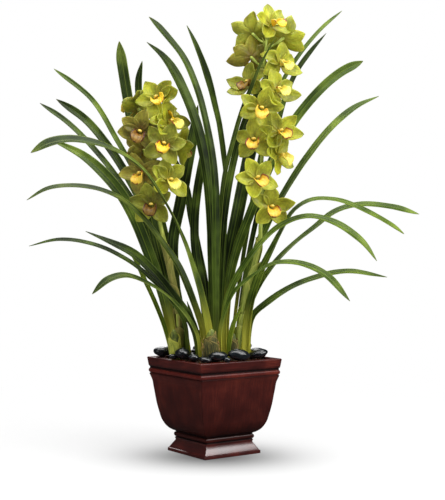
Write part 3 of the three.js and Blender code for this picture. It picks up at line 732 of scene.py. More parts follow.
def makeTuft():
    chance = random.Random(tuft["seed"])
    strands = []
    for _ in range(tuft["strands"]):
        turn = chance.uniform(0, 2 * math.pi)
        lean = chance.uniform(-tuft["lean"], tuft["lean"])
        start = chance.uniform(*tuft["start"])
        size = chance.uniform(*tuft["size"])
        strand = []
        for i in range(tuft["steps"] + 1):
            a = start + tuft["arc"] * i / tuft["steps"]
            swing = (math.sin(a) * math.cos(turn + lean * a), math.sin(a) * math.sin(turn + lean * a),
                     abs(math.cos(a)) ** 0.8)
            strand.append(Vector([m + s * size * r for m, s, r in zip(tuft["middle"], swing, tuft["reach"])]))
        strands.append(strand)
    makeThreads("fibre_strands", strands, tuft["girth"], dryFibre(), "fibre_tuft")


oldRoots = {"perBulb": 12, "steps": 15, "girth": 0.8, "stand": 2.2, "seed": 31}


def makeOldRoots():
    # Torn brown threads of old sheaths wind up and round each old bulb.
    chance = random.Random(oldRoots["seed"])
    strands = []
    for name, x, y, width, depth, height, _ in bulbs:
        for _ in range(0 if name in bulbSheaths["young"] else oldRoots["perBulb"]):
            start, wind = chance.uniform(0, 2 * math.pi), chance.uniform(-1.6, 1.6)
            low, rise = chance.uniform(0.05, 0.4), chance.uniform(0.15, 0.5)
            strand = []
            for k in range(oldRoots["steps"] + 1):
                share = low + rise * k / oldRoots["steps"]
                angle = start + wind * k / oldRoots["steps"] + 0.25 * math.sin(k * 1.3 + start)
                out = bulbGirth(0.15 + 0.85 * share) * (1 - 0.28 * share) * bulbStyle["half"]
                out += (oldRoots["stand"] + 1.2 * math.sin(k + start)) / width
                strand.append(Vector((x + math.cos(angle) * width * out, y + math.sin(angle) * depth * out,
                                      bulbStyle["foot"] + height * share)))
            strands.append(strand)
    skin = drySheath("old sheath threads, dry and torn", "#4a3016", "#7d5a2c", "#b39358")
    makeThreads("sheath_threads", strands, oldRoots["girth"], skin)


makeBulbs()
makeTuft()
makeOldRoots()
print("bulbs and fibre built")


# Cymbidium leaf: a waxy cuticle over close parallel veins. It gives a satin shine, a pale midrib, a
# yellow-green foot and a tip that has started to dry. Veins are drawn about 1.3 mm apart, to show.
def leafCuticle(name, shadow, blade, bright, foot):
    node, shade = newMaterial(name, IOR=1.42, Specular_IOR_Level=0.18)
    uv = node("UVMap", uv_map="UVMap")
    parts = node("SeparateXYZ", uv)
    patch = node("TexNoise", Vector=node("TexCoord").outputs["Object"], Scale=15, Detail=2)
    veins = banded(node, uv, (16, 1.1, 1), 3, Roughness=0.7)
    tone = node("Mix", Factor=0.6, A=patch, B=veins)
    color = node("ValToRGB", tone, stops=[(0.38, shadow), (0.5, blade), (0.63, bright)])
    side = offMiddle(node, parts.outputs["X"])
    rib = node("MapRange", Value=side, From_Min=0.01, From_Max=0.06, To_Min=0.4, To_Max=0)
    margin = node("MapRange", Value=side, From_Min=0.42, From_Max=0.5, To_Max=0.6)
    pale = node("Math.MAXIMUM", rib, margin)
    wander = node("Math.MULTIPLY_ADD", veins, 0.12, parts.outputs["Y"])
    footShare = node("MapRange", Value=wander, From_Min=0.05, From_Max=0.29, To_Min=0.95, To_Max=0,
                     interpolation_type="SMOOTHSTEP")
    dryShare = node("MapRange", Value=wander, From_Min=1.045, From_Max=1.08, To_Max=0.6)
    for share, over in ((pale, bright), (footShare, foot), (dryShare, "#6f6a2e")):
        color = node("Mix", Factor=share, A=color, B=over, data_type="RGBA")
    return shade(color, (tone, 0.34, 0.52), (veins, 0.25, 0.0006))


# A strap leaf along a route: it clasps the bulb, widens, then tapers to a point. Its two halves fold
# up from the midrib, and it rolls about its route. Lengths are in metres and rolls in degrees.
def leafTree():
    numbers = {"Width": 0.02, "Tip Width": 0.0008, "Tip Length": 0.06, "Foot Roll": 0.0, "Middle Roll": 0.0,
               "Tip Roll": 0.0, "Foot Fold": 0.55, "Fold": 0.3, "Wave": 0.25, "Seed": 0.0}
    tree, node, given = newTree("leafBlade", [
        *[(name, "Float", value) for name, value in numbers.items()],
        ("Rows", "Int", 61), ("Columns", "Int", 9), ("Material", "Material", None)])
    route = node("MeshToCurve", given["Geometry"])
    grid = node("MeshGrid", Size_X=1.0, Size_Y=1.0, Vertices_X=given["Columns"], Vertices_Y=given["Rows"])
    flat = node("SeparateXYZ", node("InputPosition"))
    # Rows lie closer together towards the tip.
    fromTip = node("Math.SUBTRACT", 0.5, flat.outputs["Y"], use_clamp=True)
    closer = node("Math.POWER", fromTip, 1.5)
    along = node("Math.SUBTRACT", 1.0, closer, use_clamp=True)
    column = node("Math.ADD", flat.outputs["X"], 0.5)
    sheet = node("StoreNamedAttribute", Geometry=grid, Name="UVMap", Value=node("CombineXYZ", column, along),
                 data_type="FLOAT2", domain="CORNER")
    spot, foot, tip = [node("SampleCurve", Curves=route, Factor=share, mode="FACTOR")
                       for share in (along, 0.0, 1.0)]
    tangent = spot.outputs["Tangent"]
    # A level direction across the blade, made square to the route and rolled about it.
    span = node("VectorMath.SUBTRACT", tip.outputs["Position"], foot.outputs["Position"])
    heading = node("VectorMath.MULTIPLY", span, (1, 1, 0))
    level = node("VectorMath.CROSS_PRODUCT", (0, 0, 1), heading)
    unit = node("VectorMath.NORMALIZE", level)
    lean = node("VectorMath.DOT_PRODUCT", unit, tangent).outputs["Value"]
    part = node("VectorMath.SCALE", tangent, Scale=lean)
    square = node("VectorMath.SUBTRACT", unit, part)
    flatSide = node("VectorMath.NORMALIZE", square)
    early = node("MapRange", Value=along, From_Max=0.5, To_Min=given["Foot Roll"],
                 To_Max=given["Middle Roll"])
    change = node("Math.SUBTRACT", given["Tip Roll"], given["Middle Roll"])
    late = node("MapRange", Value=along, From_Min=0.5, To_Max=change)
    roll = node("Math.RADIANS", node("Math.ADD", early, late))
    side = node("VectorRotate", Vector=flatSide, Axis=tangent, Angle=roll, rotation_type="AXIS_ANGLE")
    normal = node("VectorMath.CROSS_PRODUCT", tangent, side)
    # Width: narrower at the foot, full half way, then a rounded taper.
    waist = node("Math.MULTIPLY_ADD", along, 1.2, 0.6)
    full = node("Math.MINIMUM", waist, 1.0)
    left = node("Math.MULTIPLY", closer, node("CurveLength", route))
    tipShare = node("Math.DIVIDE", left, given["Tip Length"], use_clamp=True)
    tipSine = node("Math.SINE", node("Math.MULTIPLY", tipShare, math.pi / 2))
    taper = node("Math.POWER", tipSine, 0.8)
    outline = node("Math.MULTIPLY", full, taper)
    broad = node("Math.MULTIPLY", outline, given["Width"])
    width = node("Math.MAXIMUM", broad, given["Tip Width"])
    across = node("Math.MULTIPLY", flat.outputs["X"], width)
    # Fold: strong at the foot, then slight, with a slow wave.
    fold = node("MapRange", Value=along, From_Max=0.35, To_Min=given["Foot Fold"], To_Max=given["Fold"])
    ripple = node("Math.MULTIPLY_ADD", along, 7.0, given["Seed"])
    swing = node("Math.MULTIPLY_ADD", flat.outputs["X"], 1.1, ripple)
    wave = node("TexNoise", W=swing, Scale=1.0, Detail=1.0, noise_dimensions="1D")
    curl = node("Math.SUBTRACT", wave, 0.5)
    bend = node("Math.MULTIPLY_ADD", curl, given["Wave"], fold)
    lift = node("Math.MULTIPLY", node("Math.ABSOLUTE", across), bend)
    sideways = node("VectorMath.SCALE", side, Scale=across)
    upward = node("VectorMath.SCALE", normal, Scale=lift)
    off = node("VectorMath.ADD", sideways, upward)
    place = node("VectorMath.ADD", spot.outputs["Position"], off)
    return closeTree(tree, node, node("SetPosition", Geometry=sheet, Position=place), given["Material"])


# The leaves' finishes are lit and shaded copies of one material. The two darkest are painted shade for leaves
# deep in the plant, the darkest also with a dark foot, painted shade in the gaps between the leaf feet. The
# two lighter ones stand for leaves in light, the lightest also a younger yellow-green.
leafStyle = {
    "thickness": 1.0, "steps": 120, "seedStep": 3.7,
    "litAndShadedLeaves": {  # lit and shaded copies of one leaf: shadow, blade, bright veins, foot, as sRGB
        "Deep": ("#0b1104", "#1f2d0b", "#5d7227", "#56631f"),
        "Dusk": ("#121b07", "#2b3c11", "#748232", "#c2c043"),
        "Mid": ("#182608", "#3a4e15", "#788b31", "#cdc948"),
        "Fresh": ("#33460d", "#5a701a", "#8f9f34", "#cfcb4c"),
    },
}
# Each leaf: width, length of its tapered tip, rolls at its foot, half way and at its tip, the finish with its
# painted light or shade, and its route from foot to tip in mm, in the plant's frame: X to the viewer's right,
# Y to the back.
leafFans = {
    "left": [
        (10, 60, (-60, -60, -60), "Fresh", [(-88, 6, 196), (-105, 6, 264), (-123, 4, 311), (-144, 2, 357),
         (-163, 3, 397), (-180, 6, 424)]),
        (12, 90, (-60, -36, -36), "Deep", [(-53, -26, 196), (-61, -29, 273), (-90, -30, 321),
         (-131, -32, 364), (-183, -26, 403), (-247, -15, 432), (-322, 0, 443), (-388, 10, 430)]),
        (24, 165, (-75, -65, -60), "Mid", [(-80, 17, 196), (-97, 24, 284), (-114, 34, 347), (-143, 45, 426),
         (-176, 58, 501), (-214, 72, 560), (-281, 90, 624), (-364, 110, 667)]),
        (13, 50, (-60, -50, -45), "Deep", [(-70, 36, 196), (-92, 50, 315), (-127, 70, 422), (-161, 88, 502),
         (-206, 106, 571), (-264, 130, 643), (-326, 150, 705), (-391, 165, 751)]),
        (18, 58, (-70, -60, -63), "Deep", [(-61, 44, 196), (-83, 62, 314), (-113, 90, 422), (-152, 115, 510),
         (-198, 140, 595), (-245, 162, 664), (-292, 182, 717), (-360, 200, 765)]),
        (12, 50, (-60, -50, -45), "Mid", [(-51, 52, 196), (-73, 76, 314), (-101, 105, 422), (-138, 135, 521),
         (-177, 158, 596), (-220, 178, 670), (-278, 200, 763), (-368, 220, 837)]),
        (24, 48, (-60, -60, -70), "Dusk", [(-66, 26, 196), (-85, 42, 294), (-107, 56, 379), (-134, 72, 486),
         (-161, 85, 606), (-184, 108, 728), (-199, 120, 814), (-210, 128, 883)]),
        (17, 54, (-60, -60, -60), "Deep", [(-57, 34, 196), (-71, 52, 304), (-95, 74, 411), (-122, 98, 520),
         (-148, 122, 631), (-165, 145, 744), (-168, 152, 801), (-161, 155, 844)]),
        (27, 90, (-10, -10, -20), "Deep", [(-56, 8, 196), (-73, 14, 295), (-84, 24, 379), (-85, 32, 443),
         (-72, 44, 511), (-58, 58, 583), (-45, 74, 659), (-35, 90, 737)]),
        (21, 125, (-60, -62, -30), "Deep", [(-31, -14, 196), (-39, -17, 251), (-53, -18, 283),
         (-74, -19, 312), (-95, -20, 339), (-126, -16, 376), (-170, -8, 415), (-220, 4, 439),
         (-270, 16, 461)]),
        (12, 60, (-60, -60, -60), "Deep", [(-34, 3, 196), (-41, 2, 254), (-48, 1, 286), (-56, 0, 315)]),
    ],
    "middle": [
        (18, 48, (-60, -20, -48), "Dusk", [(-28, -58, 196), (-34, -62, 243), (-52, -70, 282), (-88, -82, 323),
         (-127, -95, 351), (-174, -110, 370), (-208, -125, 362), (-238, -140, 335)]),
        (20, 54, (-75, -30, -24), "Dusk", [(-16, -40, 196), (-24, -42, 257), (-44, -45, 319), (-75, -46, 391),
         (-110, -56, 442), (-151, -66, 493), (-202, -68, 532), (-271, -68, 550), (-330, -80, 545),
         (-375, -90, 522)]),
        (27, 50, (-75, -12, -44), "Dusk", [(-5, -50, 196), (-11, -52, 254), (-25, -62, 320), (-47, -76, 397),
         (-73, -86, 468), (-107, -96, 532), (-146, -106, 585), (-205, -120, 622), (-277, -142, 637),
         (-319, -152, 630), (-355, -160, 611)]),
        (19, 90, (-20, -20, -20), "Deep", [(-12, 2, 196), (-16, 8, 275), (-25, 14, 348), (-38, 20, 422),
         (-40, 26, 485), (-34, 34, 549), (-23, 44, 614), (-15, 54, 679)]),
        (27, 105, (-70, -66, -56), "Deep", [(-4, -14, 196), (-4, -14, 276), (-4, -13, 380), (-6, -12, 474),
         (-14, -10, 568), (-29, -12, 651), (-51, -16, 721), (-80, -25, 784), (-106, -35, 821),
         (-137, -45, 848)]),
        (20, 33, (-70, -62, -48), "Deep", [(1, -34, 196), (3, -36, 278), (3, -38, 381), (4, -40, 483),
         (-1, -42, 586), (-16, -45, 678), (-36, -50, 753), (-62, -56, 812), (-93, -62, 853),
         (-131, -68, 895)]),
        (32, 120, (-60, -40, -54), "Deep", [(7, 16, 196), (9, 20, 295), (13, 26, 401), (19, 30, 496),
         (21, 31, 580), (11, 26, 664), (-6, 16, 747), (-23, 6, 802), (-39, -4, 849), (-56, -12, 889)]),
        (10, 190, (80, 90, 100), "Dusk", [(9, -22, 196), (8, -23, 276), (9, -25, 380), (13, -28, 484),
         (23, -32, 576), (38, -34, 638), (58, -36, 706), (79, -52, 759), (98, -70, 803), (126, -84, 851)]),
        (15, 60, (40, 50, 70), "Deep", [(15, 2, 196), (13, 0, 275), (15, 0, 380), (21, 4, 474), (34, 14, 569),
         (51, 26, 644), (72, 36, 709), (94, 42, 756), (113, 45, 791), (130, 47, 812)]),
        (28, 90, (70, 70, 70), "Deep", [(13, 42, 196), (17, 50, 293), (30, 60, 400), (45, 68, 476),
         (60, 78, 551), (76, 88, 628), (94, 98, 701), (114, 108, 768)]),
        (15, 80, (-60, -60, -60), "Deep", [(-7, 24, 196), (-12, 32, 284), (-19, 40, 352), (-33, 52, 422),
         (-49, 66, 496), (-58, 82, 549), (-78, 92, 603), (-96, 98, 640)]),
    ],
    "right": [
        (17, 60, (65, 24, 46), "Mid", [(15, -66, 196), (15, -68, 249), (23, -72, 290), (44, -78, 337),
         (80, -88, 369), (123, -102, 394), (172, -120, 394), (220, -138, 373), (267, -155, 322)]),
        (23, 70, (70, 32, 24), "Mid", [(25, -40, 196), (23, -42, 268), (32, -46, 325), (54, -52, 373),
         (91, -60, 426), (135, -70, 468), (189, -84, 488), (244, -98, 474), (292, -112, 440),
         (324, -122, 400)]),
        (20, 36, (60, 62, 75), "Mid", [(24, 22, 196), (28, 30, 295), (34, 36, 358), (51, 44, 428),
         (73, 52, 486), (99, 60, 551), (127, 68, 616), (169, 78, 694), (226, 86, 765), (274, 92, 807),
         (325, 98, 834)]),
        (10, 50, (60, 50, 45), "Mid", [(36, 46, 196), (47, 54, 293), (62, 64, 400), (78, 72, 497),
         (93, 80, 584), (111, 88, 672), (130, 94, 748), (155, 98, 799), (188, 102, 850), (232, 106, 903),
         (280, 110, 946)]),
        (11, 80, (60, 55, 60), "Deep", [(47, 38, 196), (56, 48, 294), (71, 58, 390), (90, 68, 482),
         (108, 78, 556), (124, 86, 617), (139, 96, 694), (155, 104, 754), (180, 112, 812), (211, 118, 857),
         (247, 124, 900)]),
        (21, 92, (75, 25, 35), "Mid", [(55, 18, 196), (62, 24, 274), (75, 32, 358), (94, 40, 426),
         (120, 48, 486), (152, 56, 544), (196, 64, 613), (250, 72, 681), (305, 78, 729), (357, 82, 755)]),
        (17, 52, (35, 20, 54), "Mid", [(63, -2, 196), (70, 4, 275), (89, 10, 331), (123, 18, 386),
         (165, 25, 430), (215, 32, 470), (258, 40, 503), (312, 50, 518), (378, 60, 514), (442, 70, 499)]),
        (27, 33, (75, 18, 20), "Mid", [(67, -20, 196), (71, -18, 266), (80, -16, 318), (100, -14, 376),
         (123, -14, 422), (144, -16, 463), (169, -20, 503), (203, -26, 523), (250, -34, 523), (311, -44, 500),
         (389, -56, 454)]),
        (16, 75, (60, 34, 38), "Mid", [(74, 10, 196), (74, 12, 243), (83, 16, 283), (110, 22, 308),
         (161, 32, 341), (215, 42, 362), (281, 56, 375), (374, 76, 363)]),
        (12, 50, (60, 60, 60), "Fresh", [(32, -56, 196), (34, -58, 240), (44, -60, 278), (58, -62, 306)]),
    ],
}


def makeLeaves():
    tree = leafTree()
    litAndShadedLeaves = {name: leafCuticle(f"cymbidium leaf, waxy cuticle, {name.lower()}", *colors)
                for name, colors in leafStyle["litAndShadedLeaves"].items()}
    seed = 0.0
    for fan, leaves in leafFans.items():
        for i, (width, tip, rolls, leafShading, route) in enumerate(leaves):
            path = [plantToPart @ p for p in routeThrough(route, leafStyle["steps"])]
            turns = dict(zip(("Foot_Roll", "Middle_Roll", "Tip_Roll"), map(float, rolls)))
            blade = grow(pathObject([path]), tree, f"{fan}_leaf_{i + 1}_blade", Width=width * mm,
                         Tip_Length=tip * mm, Seed=seed, Material=litAndShadedLeaves[leafShading], **turns)
            finishPiece(thicken(blade, leafStyle["thickness"]), "leaf_blade", f"{fan}_leaf_{i + 1}")
            seed += leafStyle["seedStep"]


makeLeaves()
makePebbles([route[0][:2] for leaves in leafFans.values() for *_, route in leaves])
print("leaves built")


# Each spike: the route of its main stalk, the finishes of its stalks and bracts, and its flowers. Each
# flower: the x, y and z of its middle in mm, then the degrees it faces right of the viewer, up and
# turned. For each tepal, how far its tip comes forward in mm and the degrees it leans round the flower.
# Then the finish of its tepals and of its lip: the olive and bronze tepals and the russet lip are shaded
# copies, painted shade.
spikes = {
    "left": {
        "rachis": [(-69, -2, 196), (-73, -6, 265), (-79, -8, 328), (-92, -6, 384), (-106, 0, 453),
                   (-117, 0, 505), (-123, 0, 568), (-125, 0, 631), (-127, 0, 694), (-125, 0, 740)],
        "stalk": ("flower stalk, fleshy olive", "#6c7424", "#96a13c", "#bcc556"),
        "bract": ("spike bract, olive with dry margins", "#50521c", "#7c7c32", "#b09a5a"),
        "flowers": [
            ((-116, -35, 733), (-8, 13, 35), (4, 9, 13, 3, 16), (1, 1, -9, 8, 14), "lime", "yellow"),
            ((-163, 10, 720), (-117, 28, 27), (14, 6, 2, 19, 16), (-4, -2, 0, 12, 9), "olive", "cream"),
            ((-104, -8, 705), (65, 10, -12), (16, 10, 12, 10, 8), (-4, 0, 2, 3, -6), "lime", "yellow"),
            ((-91, -28, 685), (41, 15, 16), (17, -1, -2, 9, 21), (0, 8, 11, -14, 14), "lime", "cream"),
            ((-151, -40, 665), (-5, -9, -18), (12, 7, 10, 6, 10), (1, 8, 5, -14, 1), "shadedBronze", "shadedRusset"),
            ((-102, -48, 638), (2, 3, -17), (13, 11, 10, 7, 2), (-8, -5, -4, 14, -10), "olive", "yellow"),
            ((-149, -30, 579), (-27, -4, 19), (17, 25, -4, -2, 7), (1, 7, -14, 14, -2), "shadedBronze", "orange"),
            ((-91, -42, 564), (28, 6, 2), (7, 9, 12, 18, 14), (14, -12, 13, -7, -14), "lime", "cream"),
            ((-127, -44, 514), (-6, -4, -1), (16, 16, -1, 4, 11), (14, 13, 6, 14, -14), "olive", "shadedRusset"),
            ((-153, 16, 631), (-119, 2, 9), (15, 6, 22, 5, 14), (-1, 3, -3, -2, 5), "shadedBronze", "orange"),
            ((-74, 22, 637), (124, 5, 21), (20, 11, 10, 2, 9), (0, 6, 0, 10, 0), "lime", "cream"),
        ],
    },
    "right": {
        "rachis": [(46, -10, 196), (57, -8, 280), (69, -4, 342), (88, 0, 397), (97, 2, 443), (99, 5, 527),
                   (101, 5, 600), (103, 5, 673), (107, 5, 747), (107, 5, 820), (112, 5, 887)],
        "stalk": ("flower stalk, fleshy yellow-green", "#7c8c2e", "#a1b148", "#c3cf62"),
        "bract": ("spike bract, green with pale margins", "#62742a", "#8e9a3c", "#bcb562"),
        "flowers": [
            ((122, -16, 891), (35, 23, 15), (7, 20, 10, 4, 9), (-13, 4, 5, 1, 2), "lime", "yellow"),
            ((148, 12, 867), (152, 17, 18), (19, 11, 9, 16, -3), (1, 6, 2, -10, -6), "lime", "cream"),
            ((79, 14, 877), (-148, 18, -14), (9, 8, 23, -2, 6), (9, 5, 4, -2, -2), "olive", "cream"),
            ((76, 12, 827), (-151, 16, 0), (13, 9, 6, -5, 25), (1, -7, -6, -13, 14), "shadedBronze", "cream"),
            ((140, -6, 811), (35, 10, 0), (14, -2, 2, -2, 25), (-8, 2, -7, -2, 4), "lime", "cream"),
            ((74, 2, 770), (-36, 14, 7), (15, 25, 5, 25, 19), (-7, 14, 4, -11, -2), "olive", "shadedRusset"),
            ((132, -26, 752), (30, 16, 12), (12, 12, 5, 20, 23), (0, 1, -12, 14, -1), "lime", "cream"),
            ((96, -48, 712), (12, -7, -20), (14, -1, 21, 14, 4), (1, 14, -2, 8, -14), "lime", "orange"),
            ((137, -26, 665), (23, 13, 16), (15, 6, 19, 9, 25), (8, -1, -2, -2, 5), "lime", "orange"),
            ((85, -34, 648), (-15, 2, 1), (19, 6, 15, 3, 3), (5, 5, 5, 14, -14), "lime", "orange"),
            ((136, -16, 619), (59, -4, 20), (16, -3, 11, 15, 23), (-2, 2, 11, 13, -14), "lime", "cream"),
            ((89, -46, 568), (17, 8, 24), (15, 6, 8, 19, 7), (7, 0, -2, 14, -13), "lime", "orange"),
            ((118, -36, 510), (15, -1, -2), (12, 5, 25, 9, 4), (4, 2, -14, 14, -14), "lime", "orange"),
        ],
    },
}


# Petal: a thin waxy skin over juicy cells, lime green, with faint lengthwise veins, olive patches where it
# has aged, a pale margin, a painted glow where it is thin enough to let light through, and a browner heart,
# partly a bronze blush and partly painted shade under the cupped tepals. Its olive and bronze copies are
# painted shade for flowers that stand in shadow.
def waxyPetal(name, shadow, middle, bright, margin, heartShade):
    node, shade = newMaterial(name, IOR=1.4, Subsurface_Weight=0.1, Subsurface_Scale=0.004)
    uv = node("UVMap", uv_map="UVMap")
    parts = node("SeparateXYZ", uv)
    spot = node("TexCoord").outputs["Object"]
    age = node("TexNoise", Vector=spot, Scale=24, Detail=3, Roughness=0.55)
    veins = banded(node, uv, (10, 1.4, 1), 3, Roughness=0.6)
    freckles = node("TexNoise", Vector=spot, Scale=210, Detail=3, Roughness=0.7)
    grain = node("Mix", Factor=0.5, A=veins, B=freckles)
    tone = node("Mix", Factor=0.45, A=age, B=grain)
    skin = node("ValToRGB", tone, stops=[(0.39, shadow), (0.5, middle), (0.61, bright)])
    # The pale margin is a painted glow: light through the thin edge, painted into the colour.
    thin = node("MapRange", Value=offMiddle(node, parts.outputs["X"]), From_Min=0.4, From_Max=0.5, To_Max=0.3)
    glowEdged = node("Mix", Factor=thin, A=skin, B=margin, data_type="RGBA")
    # Towards the heart: painted shade under the cupped tepals, partly a bronze blush.
    wander = node("Math.MULTIPLY_ADD", veins, 0.3, parts.outputs["Y"])
    heart = node("MapRange", Value=wander, From_Min=0.2, From_Max=0.6, To_Min=0.75, To_Max=0,
                 interpolation_type="SMOOTHSTEP")
    color = node("Mix", Factor=heart, A=glowEdged, B=heartShade, data_type="RGBA")
    return shade(color, (tone, 0.38, 0.58), (grain, 0.5, 0.0015))


# Lip: the same waxy cells in yellow, deeper in its throat, with a thin dark red band on parts of its rim.
def spottedLip(name, body, throat, rimColor, rimShare):
    node, shade = newMaterial(name, IOR=1.42, Subsurface_Weight=0.12, Subsurface_Scale=0.004)
    uv = node("UVMap", uv_map="UVMap")
    parts = node("SeparateXYZ", uv)
    edge = node("MapRange", Value=offMiddle(node, parts.outputs["X"]), From_Min=0.4, From_Max=0.46)
    front = node("MapRange", Value=parts.outputs["Y"], From_Min=0.9, From_Max=0.96)
    rim = node("Math.MAXIMUM", edge, front)
    patch = node("TexNoise", Vector=node("TexCoord").outputs["Object"], Scale=42, Detail=1)
    worn = node("MapRange", Value=patch, From_Min=0.56 - rimShare, From_Max=0.6 - rimShare)
    dark = node("Math.MULTIPLY", rim, worn)
    cloud = banded(node, uv, (6, 5, 1), 2)
    depth = node("Math.MULTIPLY_ADD", parts.outputs["Y"], -0.35, cloud)
    yellow = node("ValToRGB", depth, stops=[(0.2, body), (0.5, throat)])
    color = node("Mix", Factor=dark, A=yellow, B=rimColor, data_type="RGBA")
    return shade(color, (cloud, 0.32, 0.5), (cloud, 0.25, 0.0006))


# Column: firm and waxy, cream at its cap and yellow-green below, with a few red freckles.
def waxyColumn():
    node, shade = newMaterial("cymbidium column, waxy cream", IOR=1.42, Coat_Weight=0.15, Coat_Roughness=0.25)
    uv = node("UVMap", uv_map="UVMap")
    freckles = banded(node, uv, (9, 7, 1), 2)
    share = node("MapRange", Value=freckles, From_Min=0.63, From_Max=0.68, To_Max=0.6)
    length = node("ValToRGB", node("SeparateXYZ", uv).outputs["Y"],
                  stops=[(0.1, "#8f8f2c"), (0.6, "#bfae3a"), (0.9, "#d0b444")])
    color = node("Mix", Factor=share, A=length, B="#8a3a18", data_type="RGBA")
    return shade(color, (freckles, 0.3, 0.45))


# Flower stalks: smooth, fleshy and slightly waxy, yellow-green with olive patches.
def fleshyStalk(name, low, middle, high):
    node, shade = newMaterial(name, IOR=1.42)
    tone = banded(node, node("TexCoord").outputs["Object"], (160, 160, 22), 3)
    color = node("ValToRGB", tone, stops=[(0.3, low), (0.5, middle), (0.7, high)])
    return shade(color, (tone, 0.38, 0.55), (tone, 0.2, 0.0006))


# Five tepals. Each: degrees round the flower, its share of the full width, and how much it cups.
tepalRing = {
    "length": 46.5, "width": 33, "foot": 2.5, "dish": 4, "keel": 1.1, "ripple": 1.5, "thickness": 1.1,
    "rows": 16, "columns": 10,
    "blades": [(90, 1.0, 6.5), (152, 0.9, 7), (28, 0.9, 7), (212, 1.02, 6), (328, 1.02, 6)],
}


def tepalShape(angle, lean, share, curl, cup, chance):
    turn = math.radians(angle + lean)
    twist, bow = chance.uniform(-0.3, 0.3), chance.uniform(-3, 3)
    tipRoll, phase = chance.uniform(-6, 3), chance.uniform(0, 6)

    def place(across, along):
        s = 2 * across - 1
        outline = max(0.38 * (1 - along), max(0, math.sin(math.pi * along ** 0.85)) ** 0.66)
        half = max(0.3, 0.5 * tepalRing["width"] * share * outline)
        out = tepalRing["foot"] + (tepalRing["length"] - tepalRing["foot"]) * along
        off = half * s + bow * math.sin(math.pi * along)
        forward = curl * along ** 2.1 - tepalRing["dish"]
        forward += cup * s * s * math.sin(math.pi * min(1, along * 1.1))
        forward += twist * half * s * along - tepalRing["keel"] * math.exp(-(s * 5) ** 2) * (1 - along)
        forward += tipRoll * along ** 7 + tepalRing["ripple"] * s * s * math.sin(12 * along + 2 * s + phase)
        return Vector((forward, math.cos(turn) * out - math.sin(turn) * off,
                       math.sin(turn) * out + math.cos(turn) * off))

    return loft(tepalRing["rows"], tepalRing["columns"], place)


# The lip runs out under the column as a trough with upright sides, opens into a cupped, round front
# lobe and rolls down. Two keels run along its throat.
lipStyle = {"start": (0, 0, -5.5), "length": 34, "slope": 2, "droop": 98, "throat": 5, "trough": 11,
            "wrap": 1.6, "lobe": 15.5, "cup": 9, "tuck": 3, "keel": 1.3, "ruffle": 0.8, "thickness": 1.3,
            "rows": 24, "columns": 20}


def lipShape(chance):
    steps = lipStyle["rows"]
    middles, ways, spot = [], [], Vector(lipStyle["start"])
    for i in range(steps + 1):
        angle = math.radians(lipStyle["slope"] - lipStyle["droop"] * (i / steps) ** 1.6)
        ways.append(Vector((math.cos(angle), 0, math.sin(angle))))
        middles.append(spot.copy())
        spot += ways[-1] * (lipStyle["length"] / steps)
    phase = chance.uniform(0, 6)

    def place(across, along):
        s = 2 * across - 1
        i = round(along * steps)
        rise = Vector((-ways[i].z, 0, ways[i].x))
        opened, front = smooth(0.28, 0.7, along), smooth(0.8, 1, along)
        wrapped = s * lipStyle["wrap"] * (0.55 + 0.45 * smooth(0, 0.25, along)) * (1 - 0.5 * opened)
        trough = lipStyle["throat"] + (lipStyle["trough"] - lipStyle["throat"]) * smooth(0, 0.4, along)
        outline = math.sqrt(max(0.02, 1 - ((along - 0.5) / 0.51) ** 2))
        ruffle = math.sin(15 * along + 4 * s + phase) * s * s + math.sin(9 * s + phase) * front
        keels = lipStyle["keel"] * math.exp(-((abs(s) - 0.2) * 9) ** 2) * (1 - smooth(0.5, 0.7, along))
        cup = lipStyle["cup"] * (1 - smooth(0.5, 0.95, along)) - lipStyle["tuck"] * front
        side = trough * math.sin(wrapped) * (1 - opened) + lipStyle["lobe"] * s * outline * opened
        lift = trough * (1 - math.cos(wrapped)) * (1 - opened) + keels
        lift += (s * s * cup + lipStyle["ruffle"] * ruffle) * opened
        return middles[i] + Vector((0, side, 0)) + rise * lift

    return loft(steps, lipStyle["columns"], place)


columnStyle = {"start": -4, "length": 17, "lift": 0.5, "arch": 1.6, "foot": 3.4, "tip": 4.3, "broad": 1.1,
               "top": 0.85, "under": 0.55}


def columnShape():
    def middle(along):
        x = columnStyle["start"] + columnStyle["length"] * along
        return Vector((x, 0, columnStyle["lift"] + columnStyle["arch"] * math.sin(2.3 * along)))

    def place(across, along):
        angle = 2 * math.pi * across
        radius = columnStyle["foot"] + (columnStyle["tip"] - columnStyle["foot"]) * smooth(0.3, 0.8, along)
        radius *= math.sqrt(max(0.06, 1 - max(0, (along - 0.8) / 0.2) ** 2.4))
        radius *= 1 - 0.12 * math.exp(-((along - 0.76) * 24) ** 2)
        rise = math.sin(angle) * radius * columnStyle["top" if math.sin(angle) > 0 else "under"]
        return middle(along) + Vector((0, math.cos(angle) * radius * columnStyle["broad"], rise))

    return loft(16, 16, place, wrap=True, poles=(middle(0), middle(1) + Vector((0.4, 0, 0))))


# In mm. Radii go from the foot to the tip, which is the ovary on a flower stalk. drop: how far below its
# flower a flower stalk leaves. Bracts clasp the foot of the main stalk, each turned on from the last.
# Their radius: at the foot, and how much more at the tip. elbow: share of the drop from flower to elbow.
# sway: how far the main stalk wanders across and back, and over what height.
spikeStyle = {
    "mainRadius": (5.2, 3), "stalkRadius": (2.1, 3.2), "drop": 22, "back": -8, "joint": -2.5, "steps": 200,
    "stalkSteps": 16, "elbow": 0.7, "swell": (0.35, 0.9), "sway": ((0.7, 11), (0.5, 13)),
    "flowerBract": {"radius": (3.4, 2.5), "spread": 60, "ragged": 0.02},
    "bracts": {"count": 5, "from": 196, "apart": 46, "length": 74, "turn": 150, "radius": (5.4, 1.4),
               "spread": 150, "ragged": 0.03, "thickness": 0.6},
}


def nearHeight(route, height):
    return min(range(len(route)), key=lambda i: abs(route[i].z - height))


